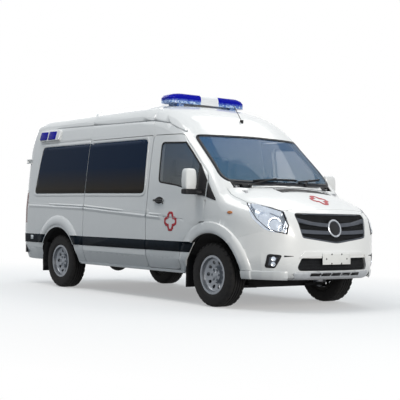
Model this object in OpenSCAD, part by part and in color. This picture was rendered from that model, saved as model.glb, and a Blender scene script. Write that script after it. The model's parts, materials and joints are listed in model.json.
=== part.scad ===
// Panel van ambulance: hollow body on four wheels, with front doors, rear doors and bonnet that open.
// Millimetres; +X points forward, +Y to the left side, +Z up; the ground is z = 0.

/* [Body] */
// Overall length, front bumper to rear hinges
body_length = 5330; // [5200:10:5460]
// Width of the body at its widest
body_width = 1980; // [1920:10:2040]
// Height of the middle of the roof
roof_height = 2400; // [2340:10:2480]
// Height of the lower edge of the sides
sill_height = 330; // [300:5:360]
// Thickness of walls and doors
wall = 60; // [50:2:66]
// Height of the windscreen's foot at its middle
cowl_height = 1365; // [1330:5:1400]
// Height of the bonnet's front edge
bonnet_height = 1100; // [1080:5:1120]
// How far the wheel arch lips stand out
flare_rise = 14; // [8:1:20]
// Outer radius of the wheel arch lips
flare_radius = 580; // [560:5:600]
// Radius of the wheel arch openings
arch_radius = 462; // [450:2:480]

/* [Openings] */
// Gap round every moving panel
shut_gap = 8; // [7:1:11]
// Rear edge of the front doors behind the front axle
door_rear_back = 1220; // [1180:5:1260]
// Top edge of the doors, measured down from the roof
door_top = 440; // [410:5:470]
// Lower edge of the side doors above the sill
door_rise = 52; // [40:2:70]
// Length of the sliding door
slider_length = 1425; // [1350:5:1480]
// Thickness of the window glass
glass_thickness = 7; // [5:1:10]
// Half width of a rear door's outer edge
rear_door_half = 850; // [830:5:865]
// Top edge of the rear doors, measured down from the roof
rear_door_top = 290; // [270:5:320]

/* [Wheels] */
// Distance between the axles
wheelbase = 3300; // [3200:10:3400]
// Nose to front axle
front_overhang = 1010; // [980:5:1040]
// Distance between the wheel middles across the van
track = 1690; // [1660:5:1710]
// Outer radius of a tyre
tyre_radius = 355; // [340:1:365]
// Width of a tyre
tyre_width = 215; // [195:5:225]
// Radius of the rim's bead seat
rim_radius = 203; // [190:1:206]
// Radius of the axle stubs
stub_radius = 30; // [25:1:36]
// Radius of the hinge pins
pin_radius = 6; // [5:0.5:8]

/* [Fits] */
// Gap between fixed panels
seam = 0.5; // [0.3:0.1:0.8]
// Gap between seated solids
seat_gap = 0.3; // [0.2:0.05:0.5]
// Radial play of pins and stubs in their bores
pin_play = 0.05; // [0.03:0.01:0.1]

/* [Roof lights] */
// Length of the light bar across the roof
bar_length = 1190; // [1100:10:1300]
// Depth of the light bar
bar_depth = 290; // [250:10:330]
// Height of the light bar's lenses
lens_height = 88; // [76:2:110]
// Half length of the clear middle of the light bar
bar_middle = 140; // [100:5:200]

/* [Grille] */
// Height of the middle of the grille
grille_height = 885; // [870:5:900]
// Spacing of the grille's slats
slat_pitch = 34; // [30:2:44]
// Height of a slat
slat_height = 9; // [6:1:12]
// Radius of the bare badge
badge_radius = 98; // [80:2:110]

/* [Hidden] */
$fn = 48;
half = body_width / 2;
nose_x = body_length / 2;
tail_x = -nose_x;
rear_x = tail_x + 30;
front_axle_x = nose_x - front_overhang;
rear_axle_x = front_axle_x - wheelbase;
wheel_y = track / 2;
header_x = nose_x - 1470;
header_z = roof_height - 415;
cowl_x = nose_x - 830;
bulkhead_x = cowl_x - 230;
floor_top = 600;
floor_low = 560;
rail_low = 440;
// Pads for a jack, under the rails
jack_drop = 25;
jack_front_x = front_axle_x - 755;
jack_rear_x = rear_axle_x + 745;
// Inner faces of the wheel housings, and the radius of a faceted cut that clears their round outside
front_housing_y = 530;
rear_housing_y = 640;
housing_wall = 16;
housing_room = (arch_radius + 22 + housing_wall + seat_gap) / cos(180 / $fn);
rail_in = 380;
rail_out = 460;
door_front_x = nose_x - 1120;
door_rear_x = front_axle_x - door_rear_back;
door_low = sill_height + door_rise;
belt_z = cowl_height - 190;
door_top_z = roof_height - door_top;
rear_door_top_z = roof_height - rear_door_top;
// Lowest edge of the bonnet
bonnet_low = bonnet_height - 95;
pillar_gap = 12;
side_depth = 560;
sill_depth = 150;
slider_front_x = door_rear_x - pillar_gap;
slider_rear_x = slider_front_x - slider_length;
// Front door hinge axis and the rolled edge round it
door_axis_x = door_front_x - 30;
door_axis_y = half - 32;
door_nose = 38;
lip_top = tyre_radius + flare_radius + 7;
// Rear door hinge axis
rear_axis_x = rear_x - 17;
rear_axis_y = half - 66;
// Bonnet hinge axis
bonnet_axis_x = cowl_x - 95;
bonnet_axis_z = cowl_height - 20;
bonnet_axis_y = 690;
bonnet_lean = 0.34;
// Steering axis
king_y = wheel_y - 75;
arm_low = 205;
arm_top = 485;
arm_thick = 30;
white = [0.93, 0.94, 0.95];
black = [0.08, 0.08, 0.09];
steel = [0.55, 0.56, 0.58];
clear = [0.35, 0.42, 0.46];

// Body sections: place, half width, top, underside, corner sharpness, fall of the top towards the sides
place = 0;
breadth = 1;
top = 2;
under = 3;
sharp = 4;
fall = 5;
body_rows = [
  [rear_x, half - 70, roof_height - 150, sill_height + 20, 6, 15],
  [rear_x + 14, half - 38, roof_height - 96, sill_height + 8, 7, 20],
  [rear_x + 45, half - 15, roof_height - 54, sill_height, 8, 25],
  [rear_x + 120, half - 4, roof_height - 22, sill_height, 9, 30],
  [rear_x + 360, half, roof_height - 6, sill_height, 9, 32],
  [rear_x + 1400, half, roof_height, sill_height, 9, 34],
  [header_x - 1100, half, roof_height - 8, sill_height, 9, 38],
  [header_x - 800, half, roof_height - 32, sill_height, 8.5, 50],
  [header_x - 640, half, roof_height - 58, sill_height, 8, 62],
  [header_x - 480, half, roof_height - 102, sill_height, 8, 78],
  [header_x - 340, half, roof_height - 160, sill_height, 8, 84],
  [header_x - 210, half, roof_height - 236, sill_height, 7.5, 90],
  [header_x - 100, half, roof_height - 324, sill_height, 7.5, 92],
  [header_x, half, header_z, sill_height, 7, 92],
  [(header_x + cowl_x) / 2, half - 2, (header_z + cowl_height) / 2 + 12, sill_height, 7, 92],
  [cowl_x - 40, half - 12, cowl_height + 38, sill_height, 6.5, 94],
  [cowl_x, half - 15, cowl_height, sill_height, 6.5, 94],
  [cowl_x + 60, half - 20, cowl_height - 24, sill_height, 6, 92],
  [cowl_x + 210, half - 38, (cowl_height * 2 + bonnet_height) / 3 + 14, sill_height + 2, 5.8, 88],
  [nose_x - 470, half - 78, (cowl_height + bonnet_height) / 2 + 4, sill_height + 5, 5.5, 74],
  [nose_x - 320, half - 150, bonnet_height + 74, sill_height + 8, 5.2, 58],
  [nose_x - 220, half - 222, bonnet_height + 22, sill_height + 10, 5, 44],
  [nose_x - 170, half - 280, bonnet_height - 8, sill_height + 12, 4.8, 36],
  [nose_x - 130, half - 344, bonnet_height - 42, sill_height + 14, 4.6, 30],
  [nose_x - 100, half - 408, bonnet_height - 88, sill_height + 18, 4.4, 26],
  [nose_x - 70, half - 490, bonnet_height - 170, sill_height + 25, 4.2, 20],
  [nose_x - 45, half - 585, bonnet_height - 300, sill_height + 42, 4, 14],
  [nose_x - 20, half - 715, bonnet_height - 420, sill_height + 80, 3.6, 8],
  [nose_x - 5, half - 850, bonnet_height - 490, sill_height + 125, 3, 4],
  [nose_x, half - 930, bonnet_height - 535, sill_height + 170, 2.5, 2]
];
inner_rows = concat(
  [[rear_x + wall, body_rows[2][breadth], body_rows[2][top], body_rows[2][under], 8, 25]],
  [for (row = body_rows) if (row[place] > rear_x + wall + 20 && row[place] < nose_x - 10) row]);
// Fewer sections for the plain inner face of walls and doors
lining_rows = [for (i = [0:len(inner_rows) - 1]) if (i < 3 || i % 2 == 0 || i == len(inner_rows) - 1) inner_rows[i]];
// Share of the half width at each height, from sill to roof
side_share = [[sill_height, 0.952], [sill_height + 140, 0.985], [600, 1], [1000, 1], [1140, 0.994],
  [1290, 0.976], [1600, 0.945], [1900, 0.908], [2200, 0.862], [roof_height, 0.845]];
section_angles = [90, 80, 71, 63, 57, 52.5, 48.5, 45, 41.5, 37.5, 33, 27, 18, 8, 0, -16, -30, -39, -45, -51, -65, -90];

function round_box(a, n) =
  let (c = cos(a), s = sin(a), d = pow(pow(abs(c), n) + pow(abs(s), n), 1 / n)) [c / d, s / d];
function skin_point(row, a, inset) =
  let (up = row[top] - inset, down = row[under] + inset, e = round_box(a, a > 0 ? row[sharp] : row[sharp] * 2.5),
    z = (up + down) / 2 + (up - down) / 2 * e[1] - (a > 0 ? row[fall] * e[0] * e[0] * e[1] : 0))
  [(row[breadth] - inset) * e[0] * lookup(z, side_share), z];
function skin_ring(row, inset) =
  let (last = len(section_angles) - 1, p = [for (a = section_angles) skin_point(row, a, inset)])
  let (x = row[place] - inset * min(1, max(0, (row[place] - nose_x + 320) / 220)))
  concat([for (q = p) [x, -q[0], q[1]]], [for (k = [last - 1:-1:1]) [x, p[k][0], p[k][1]]]);
function unit(v) = v / norm(v);
// Outline with rounded corners from points [x, y, radius]
function soft(p) = [for (i = [0:len(p) - 1])
  let (n = len(p), b = [p[i][0], p[i][1]], a = [p[(i + n - 1) % n][0], p[(i + n - 1) % n][1]],
    c = [p[(i + 1) % n][0], p[(i + 1) % n][1]], u = unit(a - b), v = unit(c - b),
    w = acos(u * v), r = min(p[i][2], min(norm(a - b), norm(c - b)) * tan(w / 2) / 2), m = r == 0 ? b : b + unit(u + v) * r / sin(w / 2),
    s = r == 0 ? [0, 0] : (b + u * r / tan(w / 2) - m), e = r == 0 ? [0, 0] : (b + v * r / tan(w / 2) - m))
  each r == 0 ? [b] : [for (f = [0:0.25:1]) m + (s * sin((1 - f) * (180 - w)) + e * sin(f * (180 - w))) / sin(180 - w)]];

module skin(inset, rows) {
  for (i = [0:len(rows) - 2]) {
    low = skin_ring(rows[i], inset);
    high = skin_ring(rows[i + 1], inset);
    n = len(low);
    hull() polyhedron(points = concat(low, high), faces = [[for (k = [0:n - 1]) k], [for (k = [0:n - 1]) n + k]]);
  }
}
module layer(out, in) {
  difference() {
    skin(out, body_rows);
    skin(in, inner_rows);
  }
}
module shell() {
  difference() {
    skin(0, body_rows);
    skin(wall, lining_rows);
  }
}
module pane(depth) {
  layer(depth, depth + glass_thickness);
}
// Right side prism of an outline in x and z
module side_cut() {
  translate([0, -side_depth, 0]) rotate([90, 0, 0]) linear_extrude(half + 200 - side_depth) children();
}
// Prism right across the van of an outline in x and z
module across() {
  translate([0, half + 200, 0]) rotate([90, 0, 0]) linear_extrude(body_width + 400) children();
}
// Prism along x of an outline in y and z
module front_cut(from, to) {
  translate([from, 0, 0]) rotate([90, 0, 90]) linear_extrude(to - from) children();
}
module pair() {
  children();
  mirror([0, 1, 0]) children();
}
module cross_bore(x, z, r, y0, y1) {
  translate([x, y1, z]) rotate([90, 0, 0]) cylinder(r = r, h = y1 - y0);
}
module block(x0, x1, y0, y1, z0, z1) {
  translate([x0, y0, z0]) cube([x1 - x0, y1 - y0, z1 - z0]);
}

// Outlines in side view
module front_door_shape() {
  difference() {
    polygon(soft([[door_rear_x, door_low, 30], [door_rear_x, door_top_z, 45], [header_x - 215, door_top_z - 8, 120],
      [door_front_x - 20, cowl_height + 105, 40], [door_front_x + 40, cowl_height + 35, 0], [door_front_x + 40, belt_z - 200, 0],
      [door_front_x + 40, door_low, 0]]));
    translate([front_axle_x, tyre_radius]) circle(flare_radius + shut_gap + 4);
    polygon([[door_axis_x - 110, lip_top - 45], [door_axis_x - 50, lip_top], [door_front_x + 60, lip_top], [door_front_x + 60, lip_top - 45]]);
  }
}
module front_window_shape() {
  polygon(soft([[door_rear_x + 175, door_top_z - 85, 50], [header_x - 130, door_top_z - 102, 40],
    [door_front_x - 155, header_z * 0.4 + cowl_height * 0.6 - 38, 60],
    [door_front_x - 150, belt_z + 87, 40], [door_rear_x + 560, belt_z + 170, 300], [door_rear_x + 190, belt_z + 215, 60]]));
}
module slider_shape() {
  polygon(soft([[slider_rear_x, door_low, 40], [slider_rear_x, door_top_z, 40], [slider_front_x, door_top_z, 40],
    [slider_front_x, door_low, 40]]));
}
module slider_window_shape() {
  polygon(soft([[slider_rear_x + 55, belt_z + 110, 40], [slider_rear_x + 55, door_top_z - 55, 50], [slider_front_x - 120, door_top_z - 55, 60],
    [slider_front_x - 95, belt_z + 100, 60]]));
}
module quarter_window_shape() {
  polygon(soft([[rear_x + 314, belt_z + 115, 70], [rear_x + 412, door_top_z - 55, 70], [slider_rear_x - 30, door_top_z - 55, 50],
    [slider_rear_x - 30, belt_z + 110, 40]]));
}
// Edge of the roof panel above the gutter
gutter = [for (p = [[rear_x - 100, 215], [door_rear_x - 100, 250], [door_rear_x + 230, 295], [door_rear_x + 410, 365],
  [door_rear_x + 600, 435], [header_x + 20, 485], [header_x + 300, 485]]) [p[0], roof_height - p[1]]];
module roof_shape() {
  polygon(concat(gutter, [[header_x + 300, roof_height + 100], [rear_x - 100, roof_height + 100]]));
}
module side_shape() {
  polygon(concat([for (p = gutter) p - [0, seam]],
    [[header_x + 300, header_z - 125], [cowl_x + 40, belt_z + 160], [door_front_x + 30, belt_z], [front_axle_x - arch_radius - 30, belt_z],
      [front_axle_x - arch_radius - 30, sill_height - 20], [rear_x + 185, sill_height - 20],
      [rear_x - 100, sill_height + 110]]));
}
// Rear door leaf, right, seen along the van
module rear_door_shape() {
  polygon(soft([[-shut_gap / 2, floor_low, 0], [-shut_gap / 2, rear_door_top_z, 0], [-rear_door_half + 70, rear_door_top_z, 60],
    [-rear_door_half, rear_door_top_z - 620, 200], [-rear_door_half, floor_low, 30]]));
}
module rear_window_shape() {
  polygon(soft([[-80, belt_z + 115, 50], [-80, door_top_z - 70, 50], [-rear_door_half + 150, door_top_z - 70, 60],
    [-rear_door_half + 95, belt_z + 115, 60]]));
}
module windscreen_shape() {
  polygon(soft([[-800, header_z - 37, 70], [0, header_z - 23, 900], [800, header_z - 37, 70], [845, cowl_height + 23, 90],
    [0, cowl_height + 10, 3000], [-845, cowl_height + 23, 90]]));
}
module bonnet_front_shape() {
  polygon(soft([[cowl_x - 500, 838, 0], [cowl_x + 26, 838, 200], [nose_x - 576, 822, 200], [nose_x - 228, 622, 90], [nose_x - 178, 0, 700],
    [nose_x - 228, -622, 90], [nose_x - 576, -822, 200], [cowl_x + 26, -838, 200], [cowl_x - 500, -838, 0]]));
}
module bonnet_rear_shape() {
  polygon(soft([[cowl_x + 70, 0, 900], [cowl_x + 42, 450, 600], [cowl_x - 36, 745, 60], [cowl_x - 64, 850, 0], [nose_x + 100, 1000, 0],
    [nose_x + 100, -1000, 0], [cowl_x - 64, -850, 0], [cowl_x - 36, -745, 60], [cowl_x + 42, -450, 600]]));
}
// Air slot behind the middle of the bonnet, seen from above
module bonnet_slot_shape() {
  polygon(soft([[cowl_x + 104, -300, 8], [cowl_x + 94, 480, 20], [cowl_x + 140, 545, 8], [cowl_x + 160, 300, 300], [cowl_x + 182, -230, 20]]));
}
// Prism of the bonnet's outline: its front and sides lean forward along the path of the front edge
module bonnet_prism(grow) {
  intersection() {
    multmatrix([[1, 0, bonnet_lean, -bonnet_lean * bonnet_height], [0, 1, 0, 0], [0, 0, 1, 0], [0, 0, 0, 1]])
      translate([0, 0, bonnet_low]) linear_extrude(cowl_height + 240 - bonnet_low) offset(delta = grow) bonnet_front_shape();
    translate([0, 0, bonnet_low - 5]) linear_extrude(cowl_height + 290 - bonnet_low) offset(delta = grow) bonnet_rear_shape();
  }
}
module bonnet_space() {
  bonnet_prism(shut_gap);
}
module headlamp_shape() {
  polygon(soft([[nose_x - 560, bonnet_height + 90, 10], [nose_x - 215, bonnet_height - 26, 30], [nose_x - 150, bonnet_height - 90, 60],
    [nose_x - 150, bonnet_height - 274, 40], [nose_x - 290, bonnet_height - 228, 120], [nose_x - 420, bonnet_height - 115, 120]]));
}
module grille_shape() {
  polygon(soft([[-535, 1052, 40], [535, 1052, 40], [478, 790, 40], [0, 730, 500], [-478, 790, 40]]));
}
module low_grille_shape() {
  polygon(soft([[-485, 575, 30], [485, 575, 30], [545, 440, 40], [-545, 440, 40]]));
}
module fog_shape() {
  polygon(soft([[-797, 617, 22], [-684, 606, 16], [-738, 466, 18], [-808, 470, 22]]));
}
module bumper_zone() {
  polygon([[front_axle_x + 300, sill_height - 50], [nose_x + 50, sill_height - 50], [nose_x + 50, bonnet_height + 60],
    [nose_x - 215, bonnet_height + 60], [nose_x - 215, bonnet_height - 115], [nose_x - 290, bonnet_height - 240],
    [front_axle_x + 300, bonnet_height - 355]]);
}

module wheel_space(axle_x, r) {
  cross_bore(axle_x, tyre_radius, r, -half - 100, half + 100);
}
module flare(axle_x, low) {
  intersection() {
    difference() {
      skin(-flare_rise, body_rows);
      skin(wall / 2, inner_rows);
    }
    difference() {
      cross_bore(axle_x, tyre_radius, flare_radius, -half - 100, 0);
      cross_bore(axle_x, tyre_radius, arch_radius, -half - 101, 1);
    }
    block(axle_x - 700, axle_x + 700, -half - 100, -half + 150, low, 1200);
  }
}

// Room for the rolled front edge of the door, above the arch lip
module door_nose_space() {
  reach = front_axle_x - door_axis_x - door_nose - shut_gap;
  translate([door_axis_x, -door_axis_y, tyre_radius + sqrt(flare_radius * flare_radius - reach * reach)])
    cylinder(r = door_nose + shut_gap, h = 700);
}
// Opening of the front door in the panels round it, from one place along the van and at one height
module door_opening(from, rise) {
  side_cut() intersection() {
    translate([0, rise]) offset(delta = shut_gap) front_door_shape();
    translate([from, 0]) square([door_axis_x + shut_gap - from, 3000]);
  }
  door_nose_space();
}
// Band along a line of points seen from the side
module line_band(points, width) {
  n = len(points) - 1;
  polygon(concat(points, [for (k = [n:-1:0]) points[k] - [width * 0.25, width]]));
}
// Grooves in the outer face: under the gutter, at the joints of the roof and along the side
module body_grooves() {
  intersection() {
    layer(-5, 8);
    across() {
      line_band([[beacon_x + 380, roof_height - 213], [door_rear_x - 100, roof_height - 245], [door_rear_x + 230, roof_height - 290],
        [door_rear_x + 410, roof_height - 360], [door_rear_x + 560, roof_height - 415]], 13);
      line_band([[door_rear_x - 170, roof_height + 60], [door_rear_x - 133, roof_height - 111], [door_rear_x - 45, roof_height - 320],
        [door_rear_x - 4, door_top_z + 7]], 7);
      line_band([[slider_rear_x - 62, roof_height + 60], [slider_rear_x - 27, roof_height - 137], [slider_rear_x, door_top_z + 20]], 7);
      line_band([[rear_x + 330, door_top_z + 18], [slider_rear_x + 20, door_top_z + 22]], 7);
    }
  }
  intersection() {
    layer(-5, 6);
    across() line_band([[rear_x + 40, belt_z - 29], [slider_rear_x, belt_z - 77], [door_rear_x, belt_z - 149],
      [door_rear_x + 340, belt_z - 183], [door_rear_x + 740, belt_z - 207]], 10);
  }
}
// Right side panel with the openings of its windows and doors
module side_panel(slider) {
  difference() {
    union() {
      difference() {
        intersection() {
          shell();
          side_cut() side_shape();
        }
        front_cut(rear_x - 100, rear_x + wall + 60) offset(delta = shut_gap) rear_door_shape();
        front_cut(header_x - 260, cowl_x + 60) offset(delta = seam) windscreen_shape();
        bonnet_space();
        tail_lamp_space(seam);
      }
      flare(rear_axle_x, 588);
    }
    door_opening(door_rear_x - 100, 0);
    side_cut() offset(delta = seam) quarter_window_shape();
    cowl_zone(seam);
    if (slider) side_cut() intersection() {
      offset(delta = shut_gap) slider_shape();
      translate([slider_rear_x - 100, door_low - seam]) square([slider_length + 200, 3000]);
    }
    if (!slider) side_cut() offset(delta = seam) slider_window_shape();
    wheel_space(rear_axle_x, arch_radius);
    wheel_space(front_axle_x, arch_radius + 25);
    under_space();
    rear_leaf_space();
    body_grooves();
  }
  beacon_box();
}
// Room under the floor, inside the sills
module under_space() {
  block(tail_x - 1, nose_x, -half + sill_depth, half, 0, floor_low + 1);
}
module side_right() {
  color(white) side_panel(true);
}
module side_left() {
  color(white) mirror([0, 1, 0]) side_panel(false);
}
beacon_x = rear_x + 305;
beacon_low = roof_height - 370;
module beacon_box() {
  difference() {
    intersection() {
      skin(-34, body_rows);
      side_cut() polygon(soft([[beacon_x, beacon_low, 20], [beacon_x, beacon_low + 120, 20], [beacon_x + 345, beacon_low + 120, 20],
        [beacon_x + 345, beacon_low, 20]]));
    }
    skin(wall / 2, inner_rows);
    beacon_lens_space(seat_gap);
  }
}
module beacon_lens_space(grow) {
  for (x = [beacon_x + 85, beacon_x + 260])
    block(x - 65 - grow, x + 65 + grow, -half - 100, -half + 104 + grow * 3, beacon_low + 20 - grow, beacon_low + 100 + grow);
}
module tail_lamp_space(grow) {
  front_cut(rear_x - 100, rear_x + 110)
    offset(delta = grow) polygon(soft([[-half - 40, floor_low + 300, 0], [-half - 40, belt_z + 115, 0], [-rear_door_half - 24, belt_z + 115, 20],
      [-rear_door_half - 24, floor_low + 300, 20]]));
}
module tail_lamps() {
  color([0.5, 0.05, 0.06]) pair() intersection() {
    layer(1, wall - 10);
    tail_lamp_space(0);
  }
}
module sliding_door() {
  color(white) difference() {
    intersection() {
      shell();
      side_cut() slider_shape();
    }
    side_cut() offset(delta = seam) slider_window_shape();
    under_space();
    body_grooves();
  }
}
module side_glass() {
  color(clear) {
    pair() intersection() {
      pane(3);
      side_cut() {
        quarter_window_shape();
        slider_window_shape();
      }
    }
  }
}
module roof() {
  color(white) difference() {
    intersection() {
      shell();
      union() {
        across() roof_shape();
        block(rear_x - 1, rear_x + 140, -side_depth + seam, side_depth - seam, rear_door_top_z + shut_gap, roof_height - 200);
      }
    }
    front_cut(header_x - 260, cowl_x + 60) offset(delta = seam) windscreen_shape();
    pair() beacon_gap();
    body_grooves();
  }
}
module beacon_gap() {
  side_cut() translate([beacon_x - 15, beacon_low - 30]) square([380, 160]);
}
module windscreen() {
  color(clear) intersection() {
    pane(3);
    front_cut(header_x - 260, cowl_x + 60) windscreen_shape();
  }
}
module front_bulkhead() {
  color(white) {
    difference() {
      intersection() {
        skin(wall + seam, lining_rows);
        block(bulkhead_x, bulkhead_x + 40, -half, half, floor_top + seat_gap, header_z + 15);
      }
      pair() cross_bore(front_axle_x, tyre_radius, housing_room, -half, -front_housing_y + seat_gap);
      front_cut(bulkhead_x - 50, bulkhead_x + 50) offset(delta = seam) windscreen_shape();
    }
  }
}
// Room for the outside of a wheel housing
module liner_space(axle_x, inner) {
  cross_bore(axle_x, tyre_radius, housing_room, -half + wall + 22 - seat_gap, -inner + seat_gap);
}
module cowl_zone(grow) {
  block(cowl_x - 220, cowl_x + 80, -765 - grow, 765 + grow, cowl_height - 185, cowl_height + 85);
}
module cowl() {
  color(black) difference() {
    intersection() {
      shell();
      cowl_zone(0);
    }
    front_cut(header_x - 260, cowl_x + 120) offset(delta = seam) windscreen_shape();
    bonnet_space();
    block(cowl_x - 230, cowl_x + 100, -800, 800, bonnet_low - 5, cowl_height - 75);
    pair() block(cowl_x - 230, cowl_x + 100, -bonnet_axis_y - 50, -bonnet_axis_y + 50, bonnet_low - 5, bonnet_axis_z + 20);
  }
}
module bonnet() {
  color(white) difference() {
    intersection() {
      layer(0, 34);
      bonnet_prism(0);
      block(cowl_x - 300, nose_x, -half, half, bonnet_low + 10, cowl_height + 235);
    }
    bonnet_arms(seat_gap);
    intersection() {
      layer(-5, 9);
      translate([0, 0, bonnet_low - 5]) linear_extrude(cowl_height + 240 - bonnet_low) bonnet_slot_shape();
    }
    front_cut(header_x, cowl_x + 100) offset(delta = shut_gap) windscreen_shape();
  }
}
module wings() {
  color(white) pair() difference() {
    union() {
      intersection() {
        shell();
        side_cut() polygon([[door_front_x - 40, 500], [door_front_x - 40, belt_z - seam], [door_front_x + 30, belt_z - seam],
          [cowl_x + 40, belt_z + 160 - seam], [cowl_x + 40, cowl_height + 135], [nose_x, cowl_height + 135], [nose_x, 500]]);
      }
      flare(front_axle_x, sill_height + 12);
    }
    side_cut() offset(delta = seam) bumper_zone();
    wheel_space(front_axle_x, arch_radius);
    liner_space(front_axle_x, front_housing_y);
    door_opening(door_rear_x - 100, 0);
    door_opening(door_axis_x - 170, -9);
    block(door_front_x - 2000, nose_x, -640, 1, 0, 2000);
    block(door_front_x - 2000, cowl_x + 60, -772, 1, 0, 2000);
    block(door_front_x - 600, front_axle_x - 1, -half - 100, 0, 0, 700);
    side_cut() offset(delta = seam) headlamp_shape();
    bonnet_space();
  }
}
lip_depth = 13;
module lip_shape(grow) {
  offset(delta = grow) polygon(soft([[-575, 427, 20], [575, 427, 20], [520, 300, 0], [-520, 300, 0]]));
}
// Bright lip under the lower grille, let into the bumper, with a row of slots
module front_lip() {
  color(steel) difference() {
    intersection() {
      layer(-5, lip_depth - seat_gap);
      front_cut(nose_x - 330, nose_x + 50) lip_shape(0);
    }
    wheel_space(front_axle_x, arch_radius + 100);
    front_cut(nose_x - 330, nose_x + 50)
      for (k = [-2:2]) translate([k * 144 - 61, 390]) polygon(soft([[0, 0, 8], [122, 0, 8], [118, 20, 8], [4, 20, 8]]));
  }
}
module front_bumper() {
  color(white) difference() {
    intersection() {
      union() {
        shell();
        pair() flare(front_axle_x, sill_height + 12);
      }
      across() bumper_zone();
    }
    intersection() {
      layer(-1, lip_depth);
      front_cut(nose_x - 330, nose_x + 50) lip_shape(seam);
    }
    pair() side_cut() offset(delta = seam) headlamp_shape();
    bonnet_space();
    wheel_space(front_axle_x, arch_radius);
    pair() liner_space(front_axle_x, front_housing_y);
    front_cut(nose_x - 330, nose_x + 50) {
      offset(delta = seam) grille_shape();
      offset(delta = seam) low_grille_shape();
      offset(delta = seam) fog_shape();
      mirror([1, 0]) offset(delta = seam) fog_shape();
    }
  }
}
// Upright sheet behind the nose, bowed in plan and leaning back: its front lies at a depth behind the nose
module bowed_sheet(x, z, bow, slope, depth, thick) {
  multmatrix([[1, 0, -slope, slope * z], [0, 1, 0, 0], [0, 0, 1, 0], [0, 0, 0, 1]])
    translate([x - bow, 0, 380]) linear_extrude(720) intersection() {
      difference() {
        circle(bow - depth, $fn = 240);
        circle(bow - depth - thick, $fn = 240);
      }
      translate([0, -600]) square([bow + 100, 1200]);
    }
}
module upper_sheet(depth, thick) {
  bowed_sheet(nose_x - 62, grille_height, 4500, 0.3, depth, thick);
}
module lower_sheet(depth, thick) {
  bowed_sheet(nose_x - 4, 500, 1700, 0, depth, thick);
}
// Level slats, seen from the front
module slats(low, count) {
  for (k = [0:count - 1]) translate([-600, low + k * slat_pitch]) square([1200, slat_height]);
}
// Two bars that sweep in from the sides and thin out towards the badge
module grille_bars() {
  polygon([[-560, 1015], [-300, 962], [0, 940], [300, 962], [560, 1015], [560, 968], [400, 936], [200, 913], [0, 904], [-200, 913],
    [-400, 936], [-560, 968]]);
  polygon([[-560, 886], [-300, 872], [0, 862], [300, 872], [560, 886], [560, 846], [300, 831], [0, 826], [-300, 831], [-560, 846]]);
}
module grille() {
  color(black) difference() {
    intersection() {
      skin(4, body_rows);
      union() {
        intersection() {
          upper_sheet(36, 14);
          front_cut(nose_x - 330, nose_x) grille_shape();
        }
        intersection() {
          upper_sheet(24, 16);
          front_cut(nose_x - 330, nose_x) intersection() {
            offset(delta = -4) grille_shape();
            slats(760, 9);
          }
        }
        intersection() {
          upper_sheet(8, 32);
          front_cut(nose_x - 330, nose_x) {
            intersection() {
              offset(delta = -5) grille_shape();
              grille_bars();
            }
            difference() {
              offset(delta = -2) grille_shape();
              offset(delta = -16) grille_shape();
            }
          }
        }
        badge();
        intersection() {
          lower_sheet(34, 14);
          front_cut(nose_x - 330, nose_x) low_grille_shape();
        }
        intersection() {
          lower_sheet(20, 18);
          front_cut(nose_x - 330, nose_x) intersection() {
            offset(delta = -4) low_grille_shape();
            slats(462, 3);
          }
        }
      }
    }
    bonnet_space();
  }
}
// Bare round badge with a raised rim
module badge() {
  translate([nose_x - 108, 0, grille_height]) rotate([0, 90 - 14, 0]) difference() {
    cylinder(r = badge_radius, h = 44);
    translate([0, 0, 38]) cylinder(r = badge_radius - 14, h = 10);
  }
}
module front_lamps() {
  color([0.8, 0.85, 0.9]) pair() difference() {
    intersection() {
      layer(1, wall - 12);
      union() {
        side_cut() headlamp_shape();
        front_cut(nose_x - 330, nose_x + 50) fog_shape();
      }
    }
    bonnet_space();
  }
}

// Front door, right
module front_door() {
  difference() {
    intersection() {
      shell();
      side_cut() front_door_shape();
      union() {
        block(door_rear_x - 100, door_axis_x, -half - 100, 0, 0, 3000);
        translate([door_axis_x, -door_axis_y, 0]) cylinder(r = door_nose, h = 3000);
      }
    }
    side_cut() offset(delta = seam) front_window_shape();
    for (z = hinge_heights)
      block(door_axis_x - 22, door_axis_x + 100, -door_axis_y - 18, 0, z - 42, z + 42);
    under_space();
    body_grooves();
  }
  intersection() {
    difference() {
      skin(-22, body_rows);
      skin(-12, body_rows);
    }
    block(door_rear_x + 155, door_rear_x + 335, -half - 100, 0, belt_z - 10, belt_z + 15);
  }
  for (x = [door_rear_x + 155, door_rear_x + 315]) intersection() {
    difference() {
      skin(-14, body_rows);
      skin(10, body_rows);
    }
    block(x, x + 20, -half - 100, 0, belt_z - 10, belt_z + 15);
  }
}
hinge_heights = [lip_top + 68, lip_top + 193];
module front_door_right() {
  color(white) front_door();
}
module front_door_left() {
  color(white) mirror([0, 1, 0]) front_door();
}
module front_door_glass() {
  color(clear) intersection() {
    pane(3);
    side_cut() front_window_shape();
  }
}
module front_door_glass_right() {
  front_door_glass();
}
module front_door_glass_left() {
  mirror([0, 1, 0]) front_door_glass();
}
// Door half of the front hinges: barrels on the pin with a leaf into the door
module front_door_hinges() {
  for (z = hinge_heights) difference() {
    union() {
      translate([door_axis_x, -door_axis_y, z - 18]) cylinder(r = pin_radius + 5, h = 36);
      block(door_axis_x - 22 + seat_gap, door_axis_x, -door_axis_y - 8, -door_axis_y + 8, z - 18, z + 18);
    }
    translate([door_axis_x, -door_axis_y, z - 30]) cylinder(r = pin_radius + pin_play, h = 60);
  }
}
module front_door_hinges_right() {
  color(steel) front_door_hinges();
}
module front_door_hinges_left() {
  color(steel) mirror([0, 1, 0]) front_door_hinges();
}
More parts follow.
